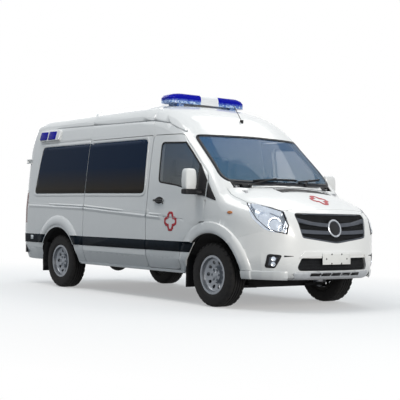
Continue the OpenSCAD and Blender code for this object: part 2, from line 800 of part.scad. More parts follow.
// Mirror on its arm, seated on the door's front corner
module door_mirror() {
  difference() {
    union() {
      translate([door_front_x - 110, -half - 105, belt_z + 230]) rotate([0, 0, 8]) linear_extrude(250, center = true)
        polygon(soft([[-52, -82, 30], [44, -82, 45], [54, 76, 36], [-52, 76, 20]]));
      block(door_front_x - 125, door_front_x - 75, -half - 60, -half + 60, belt_z + 115, belt_z + 175);
    }
    skin(-seat_gap, body_rows);
  }
}
module mirror_right() {
  color(white) door_mirror();
}
module mirror_left() {
  color(white) mirror([0, 1, 0]) door_mirror();
}

// Rear door, right
module rear_door() {
  difference() {
    intersection() {
      shell();
      front_cut(rear_x - 100, rear_x + wall + 1) rear_door_shape();
    }
    front_cut(rear_x - 100, rear_x + wall + 100) offset(delta = seam) rear_window_shape();
  }
}
module rear_door_right() {
  color(white) rear_door();
}
module rear_door_left() {
  color(white) mirror([0, 1, 0]) rear_door();
}
module rear_door_glass() {
  color(clear) front_cut(rear_x + 3, rear_x + 3 + glass_thickness) rear_window_shape();
}
module rear_door_glass_right() {
  rear_door_glass();
}
module rear_door_glass_left() {
  mirror([0, 1, 0]) rear_door_glass();
}
rear_hinge_heights = [floor_low + 130, rear_door_top_z - 374];
module rear_door_hinges() {
  for (z = rear_hinge_heights) difference() {
    union() {
      translate([rear_axis_x, -rear_axis_y, z - 18]) cylinder(r = pin_radius + 5, h = 36);
      block(rear_x - 20, rear_x - 8, -rear_axis_y, -rear_axis_y + 200, z - 18, z + 18);
      block(rear_x - 9, rear_x - seat_gap, -rear_door_half + 40, -rear_axis_y + 200, z - 18, z + 18);
    }
    translate([rear_axis_x, -rear_axis_y, z - 30]) cylinder(r = pin_radius + pin_play, h = 60);
  }
}
module rear_door_hinges_right() {
  color(steel) rear_door_hinges();
}
module rear_door_hinges_left() {
  color(steel) mirror([0, 1, 0]) rear_door_hinges();
}
module rear_leaf(grow) {
  for (z = rear_hinge_heights, s = [-1, 1])
    translate([0, 0, z + s * 24.5]) {
      block(rear_axis_x - 11 - grow, rear_axis_x + 60 + grow, -rear_axis_y - 11 - grow, -rear_axis_y + 11 + grow, -6 - grow, 6 + grow);
      block(rear_axis_x + 30 - grow, rear_axis_x + 110 + grow, -rear_axis_y - 11 - grow, -rear_axis_y + 60 + grow, -6 - grow, 6 + grow);
    }
}
module rear_leaf_space() {
  rear_leaf(seat_gap);
  for (z = rear_hinge_heights)
    translate([rear_axis_x, -rear_axis_y, z - 31]) cylinder(r = pin_radius + 12, h = 62);
}
// Body half of all hinges with their pins
module hinge_brackets() {
  color(steel) pair() {
    for (z = hinge_heights) {
      translate([door_axis_x, -door_axis_y, z - 36]) cylinder(r = pin_radius, h = 72);
      for (s = [-1, 1]) translate([0, 0, z + s * 27])
        linear_extrude(16, center = true) polygon([[door_axis_x - 9, -door_axis_y - 4], [door_axis_x - 4, -door_axis_y - 9],
          [door_axis_x + 4, -door_axis_y - 9], [door_axis_x + 9, -door_axis_y - 4], [door_axis_x + 14, -door_axis_y + 75], [door_axis_x + 60, -door_axis_y + 75], [door_axis_x + 60, -door_axis_y + 110],
          [door_axis_x - 10, -door_axis_y + 110]]);
    }
    difference() {
      block(door_axis_x + 48, bulkhead_x - seat_gap, -door_axis_y + 70, -door_axis_y + 140, floor_top + 100, lip_top + 223);
      wheel_space(front_axle_x, housing_room);
    }
    for (z = rear_hinge_heights) translate([rear_axis_x, -rear_axis_y, z - 30]) cylinder(r = pin_radius, h = 60);
    rear_leaf(0);
    cross_bore(bonnet_axis_x, bonnet_axis_z, pin_radius, -bonnet_axis_y - 40, -bonnet_axis_y + 40);
    for (s = [-1, 1]) block(cowl_x - 190, bonnet_axis_x + 10, -bonnet_axis_y + s * 32 - 8, -bonnet_axis_y + s * 32 + 8,
      bonnet_axis_z - 40, bonnet_axis_z + 10);
  }
}
module bonnet_arms(grow) {
  for (s = [-1, 1]) block(bonnet_axis_x - grow, bonnet_axis_x + 190 + grow, s * bonnet_axis_y - 15 - grow, s * bonnet_axis_y + 15 + grow,
    bonnet_axis_z - 85 - grow, bonnet_axis_z - 50 + grow);
}
module bonnet_hinges() {
  color(steel) difference() {
    union() {
      bonnet_arms(0);
      for (s = [-1, 1]) {
        block(bonnet_axis_x - 11, bonnet_axis_x + 11, s * bonnet_axis_y - 15, s * bonnet_axis_y + 15, bonnet_axis_z - 85, bonnet_axis_z);
        cross_bore(bonnet_axis_x, bonnet_axis_z, pin_radius + 5, s * bonnet_axis_y - 15, s * bonnet_axis_y + 15);
      }
    }
    cross_bore(bonnet_axis_x, bonnet_axis_z, pin_radius + pin_play, -half, half);
  }
}

// Floor with its rails, the pads for a jack under them, and room for the wheel housings
module floor_pan() {
  color([0.3, 0.31, 0.33]) difference() {
    union() {
      block(rear_x + 120, cowl_x - 190, -half * 0.985 + wall + 20, half * 0.985 - wall - 20, floor_low, floor_top);
      pair() {
        block(rear_x + 150, nose_x - 330, -rail_out, -rail_in, rail_low, floor_low + 1);
        for (x = [jack_front_x, jack_rear_x]) block(x - 50, x + 50, -rail_out + 5, -rail_in - 5, rail_low - jack_drop, rail_low + 1);
      }
    }
    pair() {
      cross_bore(rear_axle_x, tyre_radius, arch_radius + housing_wall + seat_gap + 22, -half, -rear_housing_y + seat_gap);
      cross_bore(front_axle_x, tyre_radius, arch_radius + housing_wall + seat_gap + 22, -half, -front_housing_y + seat_gap);
    }
  }
}
// Half drum over a wheel, open below and outward
module housing(axle_x, inner) {
  difference() {
    intersection() {
      cross_bore(axle_x, tyre_radius, arch_radius + 22 + housing_wall, -half + wall + 22, -inner);
      block(axle_x - 900, axle_x + 900, -half, 0, floor_low, 1200);
    }
    cross_bore(axle_x, tyre_radius, arch_radius + 22, -half, -inner - housing_wall);
  }
}
module wheel_housings() {
  color([0.3, 0.31, 0.33]) pair() {
    housing(rear_axle_x, rear_housing_y);
    housing(front_axle_x, front_housing_y);
  }
}
module partition() {
  color([0.8, 0.8, 0.78]) difference() {
    intersection() {
      skin(wall + seam, lining_rows);
      block(door_rear_x - 40, door_rear_x - 15, -half, half, floor_top + seat_gap, roof_height - 100);
    }
    front_cut(door_rear_x - 100, door_rear_x + 100) polygon(soft([[-300, belt_z + 175, 50], [300, belt_z + 175, 50],
      [300, belt_z + 575, 50], [-300, belt_z + 575, 50]]));
  }
}
module at_steering() {
  translate([cowl_x - 480, 430, cowl_height - 75]) rotate([0, -58, 0]) children();
}
module dashboard() {
  color([0.25, 0.26, 0.28]) difference() {
    dashboard_block();
    at_steering() translate([0, 0, -150 - seat_gap]) cylinder(r = 60 + seat_gap, h = 300);
  }
}
module dashboard_block() {
  intersection() {
    skin(wall + 6, lining_rows);
    across() polygon(soft([[cowl_x - 230 - seat_gap, cowl_height - 465, 0], [cowl_x - 230 - seat_gap, cowl_height - 65, 0],
      [cowl_x - 420, cowl_height - 80, 60], [cowl_x - 480, cowl_height - 185, 80], [cowl_x - 400, cowl_height - 465, 60]]));
    block(door_rear_x, nose_x, -door_axis_y + 145, door_axis_y - 145, 0, header_z);
  }
}
// Seat from its side outlines: foot, cushion with leaning back, and headrests
module seat(y, w) {
  translate([door_rear_x, y, floor_top]) rotate([90, 0, 0]) {
    linear_extrude(w - 40, center = true) polygon(soft([[170, seat_gap, 0], [520, seat_gap, 0], [540, 250, 0], [150, 250, 0]]));
    linear_extrude(w, center = true) {
      polygon(soft([[120, 230, 40], [600, 235, 45], [612, 345, 45], [150, 352, 20]]));
      polygon(soft([[130, 290, 20], [275, 290, 20], [168, 905, 50], [45, 890, 50]]));
    }
    for (p = w > 600 ? [-w / 4, w / 4] : [0]) translate([0, 0, p])
      linear_extrude(260, center = true) polygon(soft([[62, 860, 0], [150, 872, 0], [122, 1105, 35], [28, 1088, 35]]));
  }
}
module seats() {
  color([0.22, 0.23, 0.26]) {
    seat(430, 500);
    seat(-310, 860);
  }
}
module steering_wheel() {
  color(black) at_steering() {
    rotate_extrude() translate([195, 0]) circle(15);
    translate([0, 0, -150]) cylinder(r = 60, h = 160);
    for (a = [90, 210, 330]) rotate([0, 0, a]) translate([40, -18, -15]) cube([150, 36, 18]);
  }
}
module engine() {
  color([0.35, 0.36, 0.37]) {
    block(cowl_x - 40, cowl_x + 520, -rail_in + seat_gap, rail_in - seat_gap, rail_low + 20, bonnet_low - 5);
    cross_tube(cowl_x - 600, cowl_x - 39, 0, 438, 105);
  }
}
module cross_tube(x0, x1, y, z, r) {
  translate([x0, y, z]) rotate([0, 90, 0]) cylinder(r = r, h = x1 - x0);
}
module fuel_tank() {
  color([0.15, 0.15, 0.16]) block(rear_axle_x + 945, rear_axle_x + 1795, rail_out + 20, half - 160, sill_height, floor_low - seat_gap);
}
module exhaust() {
  color(steel) {
    cross_tube(rear_x + 95, cowl_x - 100, -250, 505, 24);
    cross_tube(rear_axle_x + 1145, rear_axle_x + 1795, -250, 480, 70);
    for (x = [rear_axle_x + 745, rear_axle_x + 2245, rear_x + 300]) block(x - 15, x + 15, -262, -238, 505, floor_low - seat_gap);
  }
}
module front_suspension() {
  color([0.2, 0.2, 0.22]) {
    block(front_axle_x - 70, front_axle_x + 70, -rail_out, rail_out, arm_low, 310);
    pair() {
      block(front_axle_x - 70, front_axle_x + 70, -rail_out, -rail_in, 309, rail_low - seat_gap);
      arm(arm_low, rail_in);
      arm(arm_top, rail_out + seat_gap);
      translate([front_axle_x, -king_y, arm_low]) cylinder(r = 12, h = arm_thick + 45);
      translate([front_axle_x, -king_y, arm_top - 45]) cylinder(r = 12, h = 46);
    }
  }
}
module arm(z, inner) {
  translate([0, 0, z]) linear_extrude(arm_thick) polygon([[front_axle_x - 110, -inner], [front_axle_x - 30, -king_y - 30],
    [front_axle_x + 30, -king_y - 30], [front_axle_x + 110, -inner]]);
}
module knuckle() {
  difference() {
    union() {
      block(front_axle_x - 36, front_axle_x + 36, -king_y - 30, -king_y + 28, arm_low + arm_thick + seat_gap, arm_top - seat_gap);
      cross_bore(front_axle_x, tyre_radius, stub_radius, -wheel_y - 45, -king_y - 20);
    }
    translate([front_axle_x, -king_y, arm_low]) cylinder(r = 12 + pin_play, h = arm_thick + 46);
    translate([front_axle_x, -king_y, arm_top - 46]) cylinder(r = 12 + pin_play, h = 100);
  }
}
module knuckle_right() {
  color(steel) knuckle();
}
module knuckle_left() {
  color(steel) mirror([0, 1, 0]) knuckle();
}
module rear_axle() {
  color([0.2, 0.2, 0.22]) {
    cross_bore(rear_axle_x, tyre_radius, 45, -wheel_y + 46, wheel_y - 46);
    cross_bore(rear_axle_x, tyre_radius, stub_radius, -wheel_y - 45, wheel_y + 45);
    translate([rear_axle_x, 0, tyre_radius]) sphere(150);
    cross_tube(rear_axle_x + 100, cowl_x - 600 - seat_gap, 0, tyre_radius + 60, 38);
  }
}
spring_y = 560;
module leaf_springs() {
  color([0.12, 0.12, 0.13]) pair() translate([rear_axle_x, -spring_y, 0]) {
    for (k = [0:2]) intersection() {
      cross_bore(0, tyre_radius + 45 + seat_gap + 2000, 2000 - k * 14, -35, 35);
      difference() {
        block(-580 + k * 130, 580 - k * 130, -36, 36, 300, 620);
        cross_bore(0, tyre_radius + 45 + seat_gap + 2000, 2000 - 14 - k * 14, -40, 40);
      }
    }
    for (x = [-560, 560]) block(x - 25, x + 25, -35, 35, 480, floor_low - seat_gap);
  }
}
module mud_flaps() {
  color(black) pair() {
    block(front_axle_x - 470, front_axle_x - 458, -wheel_y - 100, -wheel_y + 110, 190, floor_low - seat_gap);
    block(rear_axle_x - 470, rear_axle_x - 458, -wheel_y - 100, -wheel_y + 110, 200, sill_height + 8);
    block(rear_axle_x - 470, rear_axle_x - 458, -wheel_y + 10, -wheel_y + 110, 200, floor_low - seat_gap);
  }
}
module rear_bumper() {
  color(black) difference() {
    translate([0, 0, 440]) linear_extrude(112) polygon(soft([[tail_x, -half + 150, 60], [rear_x + 40, -half + 25, 40], [rear_x + 110, -half + 12, 0],
      [rear_x + 110, -half + wall + 30, 0], [rear_x + 110, half - wall - 30, 0], [rear_x + 110, half - 12, 0], [rear_x + 40, half - 25, 40], [tail_x, half - 150, 60]]));
    block(rear_x + 61, rear_x + 200, -half + wall + 60, half - wall - 60, 400, 600);
    pair() intersection() {
      skin(-seat_gap, body_rows);
      side_cut() offset(delta = seat_gap) side_shape();
    }
  }
}

// Roof lights
bar_x = door_rear_x - 205;
bar_low = roof_height - 24;
module bar_outline(inset) {
  d = bar_depth / 2 - inset * 0.6;
  l = bar_length / 2 - inset * 1.7;
  polygon(soft([[-d, -l, 90], [d, -l, 90], [d, l, 90], [-d, l, 90]]));
}
// Body of the light bar: it narrows towards its top and falls off at its ends
module bar_block(low, height) {
  hull() {
    translate([bar_x, 0, low]) linear_extrude(height * 0.4) bar_outline(0);
    translate([bar_x, 0, low + height * 0.75]) linear_extrude(1) bar_outline(15);
    translate([bar_x, 0, low + height - 1]) linear_extrude(1) bar_outline(48);
  }
}
module light_bar() {
  color([0.8, 0.82, 0.85]) {
    translate([bar_x, 0, bar_low + 20]) linear_extrude(30) bar_outline(0);
    intersection() {
      bar_block(bar_low + 49, lens_height + 1);
      block(bar_x - bar_depth, bar_x + bar_depth, -bar_middle, bar_middle, 0, 3000);
    }
    difference() {
      for (y = [-420, 420]) block(bar_x - 90, bar_x + 90, y - 50, y + 50, bar_low - 60, bar_low + 21);
      skin(-seat_gap, body_rows);
    }
  }
}
module blue_lenses() {
  color([0.05, 0.15, 0.7]) pair() {
    intersection() {
      bar_block(bar_low + 50 + seat_gap, lens_height);
      block(bar_x - bar_depth, bar_x + bar_depth, -half, -bar_middle - seat_gap, 0, 3000);
    }
    difference() {
      intersection() {
        skin(-38, body_rows);
        beacon_lens_space(0);
      }
      skin(-16, body_rows);
    }
  }
}
antenna_x = header_x - 190;
module antenna() {
  color(black) {
    difference() {
      translate([antenna_x, 0, roof_height - 300]) cylinder(r = 22, h = 75);
      skin(-seat_gap, body_rows);
    }
    translate([antenna_x, 0, roof_height - 240]) rotate([0, -38, 0]) cylinder(r = 4, h = 250);
  }
}

// Wheels
module rim() {
  rotate([90, 0, 0]) difference() {
    rotate_extrude() polygon([[stub_radius + pin_play, -40], [70, -40], [70, -8], [150, 22], [184, 22], [184, -tyre_width / 2 + 14],
      [rim_radius + 13, -tyre_width / 2 + 14], [rim_radius + 13, -tyre_width / 2 + 22], [rim_radius, -tyre_width / 2 + 22],
      [rim_radius, tyre_width / 2 - 22], [rim_radius + 13, tyre_width / 2 - 22], [rim_radius + 13, tyre_width / 2 - 14],
      [192, tyre_width / 2 - 14], [184, 40], [150, 36], [95, 12], [80, 52], [stub_radius + pin_play, 52]]);
    for (a = [0:36:359]) rotate([0, 0, a]) translate([140, 0, -60]) cylinder(r = 21, h = 160);
  }
}
module tyre() {
  rotate([90, 0, 0]) rotate_extrude($fn = 72) polygon([[rim_radius + seat_gap, -tyre_width / 2 + 22 + seat_gap], [rim_radius + 14, -tyre_width / 2 + 22 + seat_gap],
    [rim_radius + 18, -tyre_width / 2 + 9], [rim_radius + 56, -tyre_width / 2], [tyre_radius - 46, -tyre_width / 2 + 2], [tyre_radius - 16, -tyre_width / 2 + 11],
    [tyre_radius - 3, -tyre_width / 2 + 28], [tyre_radius, -tyre_width / 2 + 52], [tyre_radius, tyre_width / 2 - 52], [tyre_radius - 3, tyre_width / 2 - 28],
    [tyre_radius - 16, tyre_width / 2 - 11], [tyre_radius - 46, tyre_width / 2 - 2], [rim_radius + 56, tyre_width / 2], [rim_radius + 18, tyre_width / 2 - 9],
    [rim_radius + 14, tyre_width / 2 - 22 - seat_gap], [rim_radius + seat_gap, tyre_width / 2 - 22 - seat_gap]]);
}
module at_wheel(x, side) {
  translate([x, side * wheel_y, tyre_radius]) mirror([0, side > 0 ? 1 : 0, 0]) children();
}
module rim_front_right() {
  color(steel) at_wheel(front_axle_x, -1) rim();
}
module rim_front_left() {
  color(steel) at_wheel(front_axle_x, 1) rim();
}
module rim_rear_right() {
  color(steel) at_wheel(rear_axle_x, -1) rim();
}
module rim_rear_left() {
  color(steel) at_wheel(rear_axle_x, 1) rim();
}
module tyre_front_right() {
  color(black) at_wheel(front_axle_x, -1) tyre();
}
module tyre_front_left() {
  color(black) at_wheel(front_axle_x, 1) tyre();
}
module tyre_rear_right() {
  color(black) at_wheel(rear_axle_x, -1) tyre();
}
module tyre_rear_left() {
  color(black) at_wheel(rear_axle_x, 1) tyre();
}

floor_pan();
wheel_housings();
side_right();
side_left();
sliding_door();
side_glass();
roof();
front_bulkhead();
cowl();
windscreen();
wings();
front_bumper();
front_lip();
rear_bumper();
grille();
front_lamps();
tail_lamps();
light_bar();
blue_lenses();
antenna();
dashboard();
seats();
steering_wheel();
partition();
engine();
fuel_tank();
exhaust();
front_suspension();
rear_axle();
leaf_springs();
mud_flaps();
hinge_brackets();
bonnet();
bonnet_hinges();
front_door_right();
front_door_glass_right();
front_door_hinges_right();
mirror_right();
front_door_left();
front_door_glass_left();
front_door_hinges_left();
mirror_left();
rear_door_right();
rear_door_glass_right();
rear_door_hinges_right();
rear_door_left();
rear_door_glass_left();
rear_door_hinges_left();
knuckle_right();
knuckle_left();
rim_front_right();
tyre_front_right();
rim_front_left();
tyre_front_left();
rim_rear_right();
tyre_rear_right();
rim_rear_left();
tyre_rear_left();
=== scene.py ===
import json
import math

import bmesh
import bpy
from mathutils import Matrix, Vector
from mathutils.bvhtree import BVHTree


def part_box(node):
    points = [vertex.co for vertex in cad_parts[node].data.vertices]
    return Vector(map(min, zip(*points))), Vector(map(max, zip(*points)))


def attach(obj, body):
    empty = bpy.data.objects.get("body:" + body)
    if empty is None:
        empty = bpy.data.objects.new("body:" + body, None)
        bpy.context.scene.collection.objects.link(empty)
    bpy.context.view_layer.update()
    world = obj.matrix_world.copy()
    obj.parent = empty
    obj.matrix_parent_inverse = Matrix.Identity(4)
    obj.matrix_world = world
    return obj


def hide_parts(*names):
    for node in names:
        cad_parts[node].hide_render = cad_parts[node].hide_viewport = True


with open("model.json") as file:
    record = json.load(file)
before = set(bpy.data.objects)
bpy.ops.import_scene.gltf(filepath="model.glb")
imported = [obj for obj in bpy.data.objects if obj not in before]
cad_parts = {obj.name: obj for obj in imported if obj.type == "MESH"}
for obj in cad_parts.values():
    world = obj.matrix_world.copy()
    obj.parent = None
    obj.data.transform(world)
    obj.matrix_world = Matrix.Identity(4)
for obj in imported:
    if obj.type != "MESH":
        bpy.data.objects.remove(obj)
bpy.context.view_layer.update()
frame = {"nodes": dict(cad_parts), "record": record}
nodes = frame["nodes"]
scene = bpy.context.scene
scene.view_settings.view_transform = "Standard"
bodyOf = {node: body for body, members in frame["record"]["behaviour"]["bodies"].items() for node in members}
slotOf = {part["node"]: part["material_slot"] for part in frame["record"]["subparts"]}

# lengths along the van are measured from the front axle
frontAxle = sum(corner.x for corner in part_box("tyre_front_right")) / 2
rearAxle = sum(corner.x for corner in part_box("tyre_rear_right")) / 2
wheelHeight = 0.355
noseX = frontAxle + 1.010
sides = (("right", -1), ("left", 1))


def at(x, y, z):
    return Vector((frontAxle + x, y, z))


# where a ray from beside or in front of the van meets a surface
def sideSpot(tree, x, z, sign):
    return tree.ray_cast(at(x, sign * 1.5, z), Vector((0, -sign, 0)))[0]


def frontHit(tree, y, z):
    return tree.ray_cast(Vector((noseX + 1, y, z)), Vector((-1, 0, 0)))


# camera at the place and angle of the picture
view = {"place": at(8.687, -7.922, 1.006), "azimuth": 51.974, "height": -0.888, "roll": 1.094, "lens": 90.77}


def makeCamera():
    turn = math.radians(view["azimuth"])
    lift = math.radians(view["height"])
    back = Vector((math.sin(turn) * math.cos(lift), -math.cos(turn) * math.cos(lift), math.sin(lift)))
    side = Vector((math.cos(turn), math.sin(turn), 0))
    up = back.cross(side)
    tilt = math.radians(view["roll"])
    tiltedSide = side * math.cos(tilt) + up * math.sin(tilt)
    tiltedUp = up * math.cos(tilt) - side * math.sin(tilt)
    camera = bpy.data.objects.new("camera", bpy.data.cameras.new("camera"))
    camera.data.lens = view["lens"]
    camera.data.sensor_width = 36
    camera.data.clip_end = 200
    turned = Matrix((tiltedSide, tiltedUp, back)).transposed().to_4x4()
    camera.matrix_world = Matrix.Translation(view["place"]) @ turned
    scene.collection.objects.link(camera)
    scene.camera = camera


makeCamera()
print("camera set")


# shader sockets that take part in plain arithmetic
class Wire:
    def __init__(self, tree, socket):
        self.tree = tree
        self.socket = socket

    def math(self, operation, first, second):
        node = self.tree.nodes.new("ShaderNodeMath")
        node.operation = operation
        for place, value in enumerate((first, second)):
            if isinstance(value, Wire):
                self.tree.links.new(value.socket, node.inputs[place])
            else:
                node.inputs[place].default_value = value
        return Wire(self.tree, node.outputs[0])

    def __add__(self, other):
        return self.math("ADD", self, other)

    def __radd__(self, other):
        return self.math("ADD", other, self)

    def __sub__(self, other):
        return self.math("SUBTRACT", self, other)

    def __rsub__(self, other):
        return self.math("SUBTRACT", other, self)

    def __mul__(self, other):
        return self.math("MULTIPLY", self, other)

    def __gt__(self, other):
        return self.math("GREATER_THAN", self, other)


class Finish:
    def __init__(self, name, **constants):
        self.material = bpy.data.materials.new(name)
        self.material.use_nodes = True
        self.tree = self.material.node_tree
        self.shader = self.tree.nodes["Principled BSDF"]
        for socket, value in constants.items():
            self.shader.inputs[socket.replace("_", " ")].default_value = value

    def node(self, kind, settings=None, sockets=None, out=0):
        made = self.tree.nodes.new(kind)
        for key, value in (settings or {}).items():
            if key == "stops":
                ramp = made.color_ramp
                for place, (spot, colour) in enumerate(value):
                    stop = ramp.elements[place] if place < 2 else ramp.elements.new(spot)
                    stop.position = spot
                    stop.color = colour
            else:
                setattr(made, key, value)
        for key, value in (sockets or {}).items():
            if isinstance(value, Wire):
                self.tree.links.new(value.socket, made.inputs[key])
            else:
                made.inputs[key].default_value = value
        return Wire(self.tree, made.outputs[out])

    def place(self):
        return self.node("ShaderNodeTexCoord", out=3)

    def axes(self):
        split = self.tree.nodes.new("ShaderNodeSeparateXYZ")
        self.tree.links.new(self.place().socket, split.inputs[0])
        return [Wire(self.tree, socket) for socket in split.outputs]

    def noise(self, scale, detail=3):
        sockets = {"Vector": self.place(), "Scale": scale, "Detail": detail, "Roughness": 0.55}
        return self.node("ShaderNodeTexNoise", None, sockets)

    def ramp(self, value, stops):
        return self.node("ShaderNodeValToRGB", {"stops": stops}, {"Fac": value})

    def mix(self, factor, first, second):
        return self.node("ShaderNodeMix", {"data_type": "RGBA"}, {0: factor, 6: first, 7: second}, out=2)

    def sine(self, value):
        return self.node("ShaderNodeMath", {"operation": "SINE"}, {0: value})

    def distance(self, value):
        return self.node("ShaderNodeMath", {"operation": "ABSOLUTE"}, {0: value})

    def feed(self, socket, wire):
        self.tree.links.new(wire.socket, self.shader.inputs[socket])
        return self

    def bump(self, height, distance):
        wire = self.node("ShaderNodeBump", None, {"Strength": 1.0, "Distance": distance, "Height": height})
        return self.feed("Normal", wire)


def rgb(red, green, blue):
    return (red, green, blue, 1)


def scaled(colour, factor):
    return rgb(*(part * factor for part in colour))


black = rgb(0, 0, 0)
white = rgb(1, 1, 1)


# gloss paint that turns darker and bluer low down: painted shade where the sides tuck under, a little rougher
# there
def paintFinish(name, colour, paintedShade):
    finish = Finish(name, Coat_Weight=0.5, Coat_Roughness=0.06)
    height = finish.axes()[2]
    # film: share of painted shade, greater towards the bottom
    film = finish.ramp(height + finish.noise(2.2) * 0.06, [(0.30, white), (0.62, black)])
    fine = finish.noise(14, 4)
    shade = finish.ramp(fine, [(0.3, scaled(colour, 0.98)), (0.7, rgb(*colour))])
    finish.feed("Base Color", finish.mix(film * 0.6, shade, rgb(*paintedShade)))
    finish.feed("Roughness", 0.2 + film * 0.18 + fine * 0.06)
    return finish.bump(finish.noise(420, 1), 0.00005).material


def grainFinish(name, colour, roughness, scale=900, depth=0.0002, spread=0.25, **constants):
    finish = Finish(name, **constants)
    wide = finish.noise(9, 4)
    tones = [(0.3, scaled(colour, 1 - spread)), (0.7, scaled(colour, 1 + spread))]
    finish.feed("Base Color", finish.ramp(wide, tones))
    finish.feed("Roughness", finish.noise(30, 3) * 0.2 + (roughness - 0.1))
    return finish.bump(finish.noise(scale, 2), depth).material


# pane whose colour runs from foot to head: tint, with a painted reflection of ground low and sky high
def glassFinish(name, foot, head, low, high, alpha, index=1.45, gloss=0.5):
    finish = Finish(name, IOR=index, Specular_IOR_Level=gloss)
    smear = finish.noise(5, 4)
    height = finish.axes()[2]
    level = (height + smear * 0.05 - low) * (1 / (high - low))
    # foot and head colours hold the painted reflection: warm ground low, blue sky high
    finish.feed("Base Color", finish.ramp(level, [(0.0, rgb(*foot)), (1.0, rgb(*head))]))
    finish.feed("Roughness", smear * 0.03 + 0.015)
    finish.feed("Alpha", smear * 0.04 + (alpha - 0.02))
    finish.material.surface_render_method = "BLENDED"
    return finish.material


# light bar: pale middle, blue under the lenses with pale flecks of painted highlight
def barFinish(name, split, top):
    finish = Finish(name, Coat_Weight=0.3, Coat_Roughness=0.1)
    x, y, z = finish.axes()
    glintFleck = finish.ramp(finish.noise(36, 2), [(0.40, rgb(0.05, 0.14, 0.44)), (0.60, rgb(0.50, 0.66, 0.88))])
    under = (finish.distance(y) > split) * (1 - (z > top))
    finish.feed("Base Color", finish.mix(under, rgb(0.78, 0.80, 0.82), glintFleck))
    finish.feed("Roughness", finish.noise(30, 3) * 0.1 + 0.25)
    return finish.material


def metalFinish(name, colour, roughness, metallic=1.0, grain=60, **constants):
    finish = Finish(name, Metallic=metallic, **constants)
    worn = finish.noise(grain, 5)
    finish.feed("Base Color", finish.ramp(worn, [(0.3, scaled(colour, 0.82)), (0.72, rgb(*colour))]))
    finish.feed("Roughness", worn * 0.15 + (roughness - 0.07))
    return finish.bump(finish.noise(grain * 12, 2), 0.00008).material


def clothFinish(name, colour):
    finish = Finish(name, Sheen_Weight=0.25, Sheen_Roughness=0.5)
    x, y, z = finish.axes()
    weave = finish.sine((x + z * 0.6) * 1400) * finish.sine(y * 1400) * 0.5 + 0.5
    worn = finish.noise(12, 4)
    finish.feed("Base Color", finish.mix(weave * 0.4 + worn * 0.4, scaled(colour, 0.7), scaled(colour, 1.35)))
    finish.feed("Roughness", worn * 0.15 + 0.78)
    return finish.bump(weave, 0.0004).material


def lensFinish(name, colour, ribs, glow=None, low=0.0, high=1.0, index=1.5, gloss=0.5):
    finish = Finish(name, IOR=index, Specular_IOR_Level=gloss)
    x, y, z = finish.axes()
    wave = finish.sine((x + y) * ribs)
    patch = finish.noise(18, 3)
    tone = finish.mix(wave * 0.2 + patch * 0.5, scaled(colour, 0.6), rgb(*colour))
    # glow is no light: paler flecks low in the lens, a painted highlight of the reflectors behind it
    if glow:
        glintFleck = finish.ramp(finish.noise(42, 2), [(0.42, black), (0.58, white)])
        level = finish.ramp((z - low) * (1 / (high - low)), [(0.0, white), (1.0, black)])
        band = finish.ramp((z - low) * 4, [(0.0, black), (0.02, white)])
        tone = finish.mix(level * band * (glintFleck * 0.75 + 0.2), tone, rgb(*glow))
    finish.feed("Base Color", tone)
    finish.feed("Roughness", patch * 0.06 + 0.06)
    return finish.bump(wave, 0.0004).material


def tyreFinish(name):
    finish = Finish(name, Specular_IOR_Level=0.2)
    dusty = finish.noise(16, 5)
    tones = [(0.35, rgb(0.006, 0.006, 0.007)), (0.75, rgb(0.020, 0.019, 0.018))]
    finish.feed("Base Color", finish.ramp(dusty, tones))
    finish.feed("Roughness", dusty * 0.2 + 0.62)
    return finish.bump(finish.noise(260, 3), 0.0004).material


finishes = {
    # white paint; its second colour is the painted shade low on the sides
    "white_paint": paintFinish("white paint", (0.78, 0.79, 0.79), (0.20, 0.24, 0.28)),
    "underbody": grainFinish("black underbody", (0.010, 0.010, 0.011), 0.65, 120, 0.0006,
                             Specular_IOR_Level=0.2),
    # glass colours from a warm or grey foot to a blue head: tint with painted reflection of ground and sky
    "dark_glass": glassFinish("dark tinted glass", (0.042, 0.034, 0.025), (0.003, 0.018, 0.050), 1.33, 1.62,
                              0.98, 1.25, 0.12),
    "cab_glass": glassFinish("cab glass", (0.22, 0.23, 0.22), (0.10, 0.16, 0.24), 1.35, 1.75, 0.45, 1.4),
    "windscreen_glass": glassFinish("windscreen glass", (0.10, 0.22, 0.34), (0.06, 0.19, 0.40), 1.4, 1.9,
                                    0.33),
    "black_plastic": grainFinish("black plastic", (0.010, 0.010, 0.012), 0.5, Specular_IOR_Level=0.2),
    "grille_plastic": grainFinish("grille plastic", (0.010, 0.011, 0.013), 0.4, Specular_IOR_Level=0.25),
    "lamp_clear": glassFinish("clear lamp cover", (0.70, 0.78, 0.88), (0.72, 0.80, 0.90), 0.8, 1.2, 0.10,
                              1.45),
    "lamp_red": lensFinish("red lens", (0.20, 0.006, 0.012), 900),
    # blue lens, paler and flecked at its foot: painted highlight of its reflectors
    "lamp_blue": lensFinish("blue lens", (0.002, 0.006, 0.50), 500, (0.30, 0.50, 0.92), 2.40, 2.455, 1.3,
                            0.12),
    "bar_housing": barFinish("pale housing", 0.142, 2.43),
    "cab_plastic": grainFinish("cab plastic", (0.10, 0.11, 0.125), 0.6),
    "seat_fabric": clothFinish("seat cloth", (0.10, 0.11, 0.13)),
    "engine_iron": grainFinish("engine iron", (0.09, 0.09, 0.095), 0.6, 90, 0.001),
    "bare_steel": metalFinish("bare steel", (0.5, 0.51, 0.53), 0.38),
    "flap_rubber": grainFinish("flap rubber", (0.010, 0.010, 0.011), 0.7, 300, 0.0003,
                               Specular_IOR_Level=0.2),
    "wheel_silver": metalFinish("wheel silver", (0.28, 0.30, 0.33), 0.36, 0.7, 25),
    "lip_silver": metalFinish("lip silver", (0.48, 0.50, 0.53), 0.36, 0.4, 25),
    "tyre": tyreFinish("tyre rubber"),
}
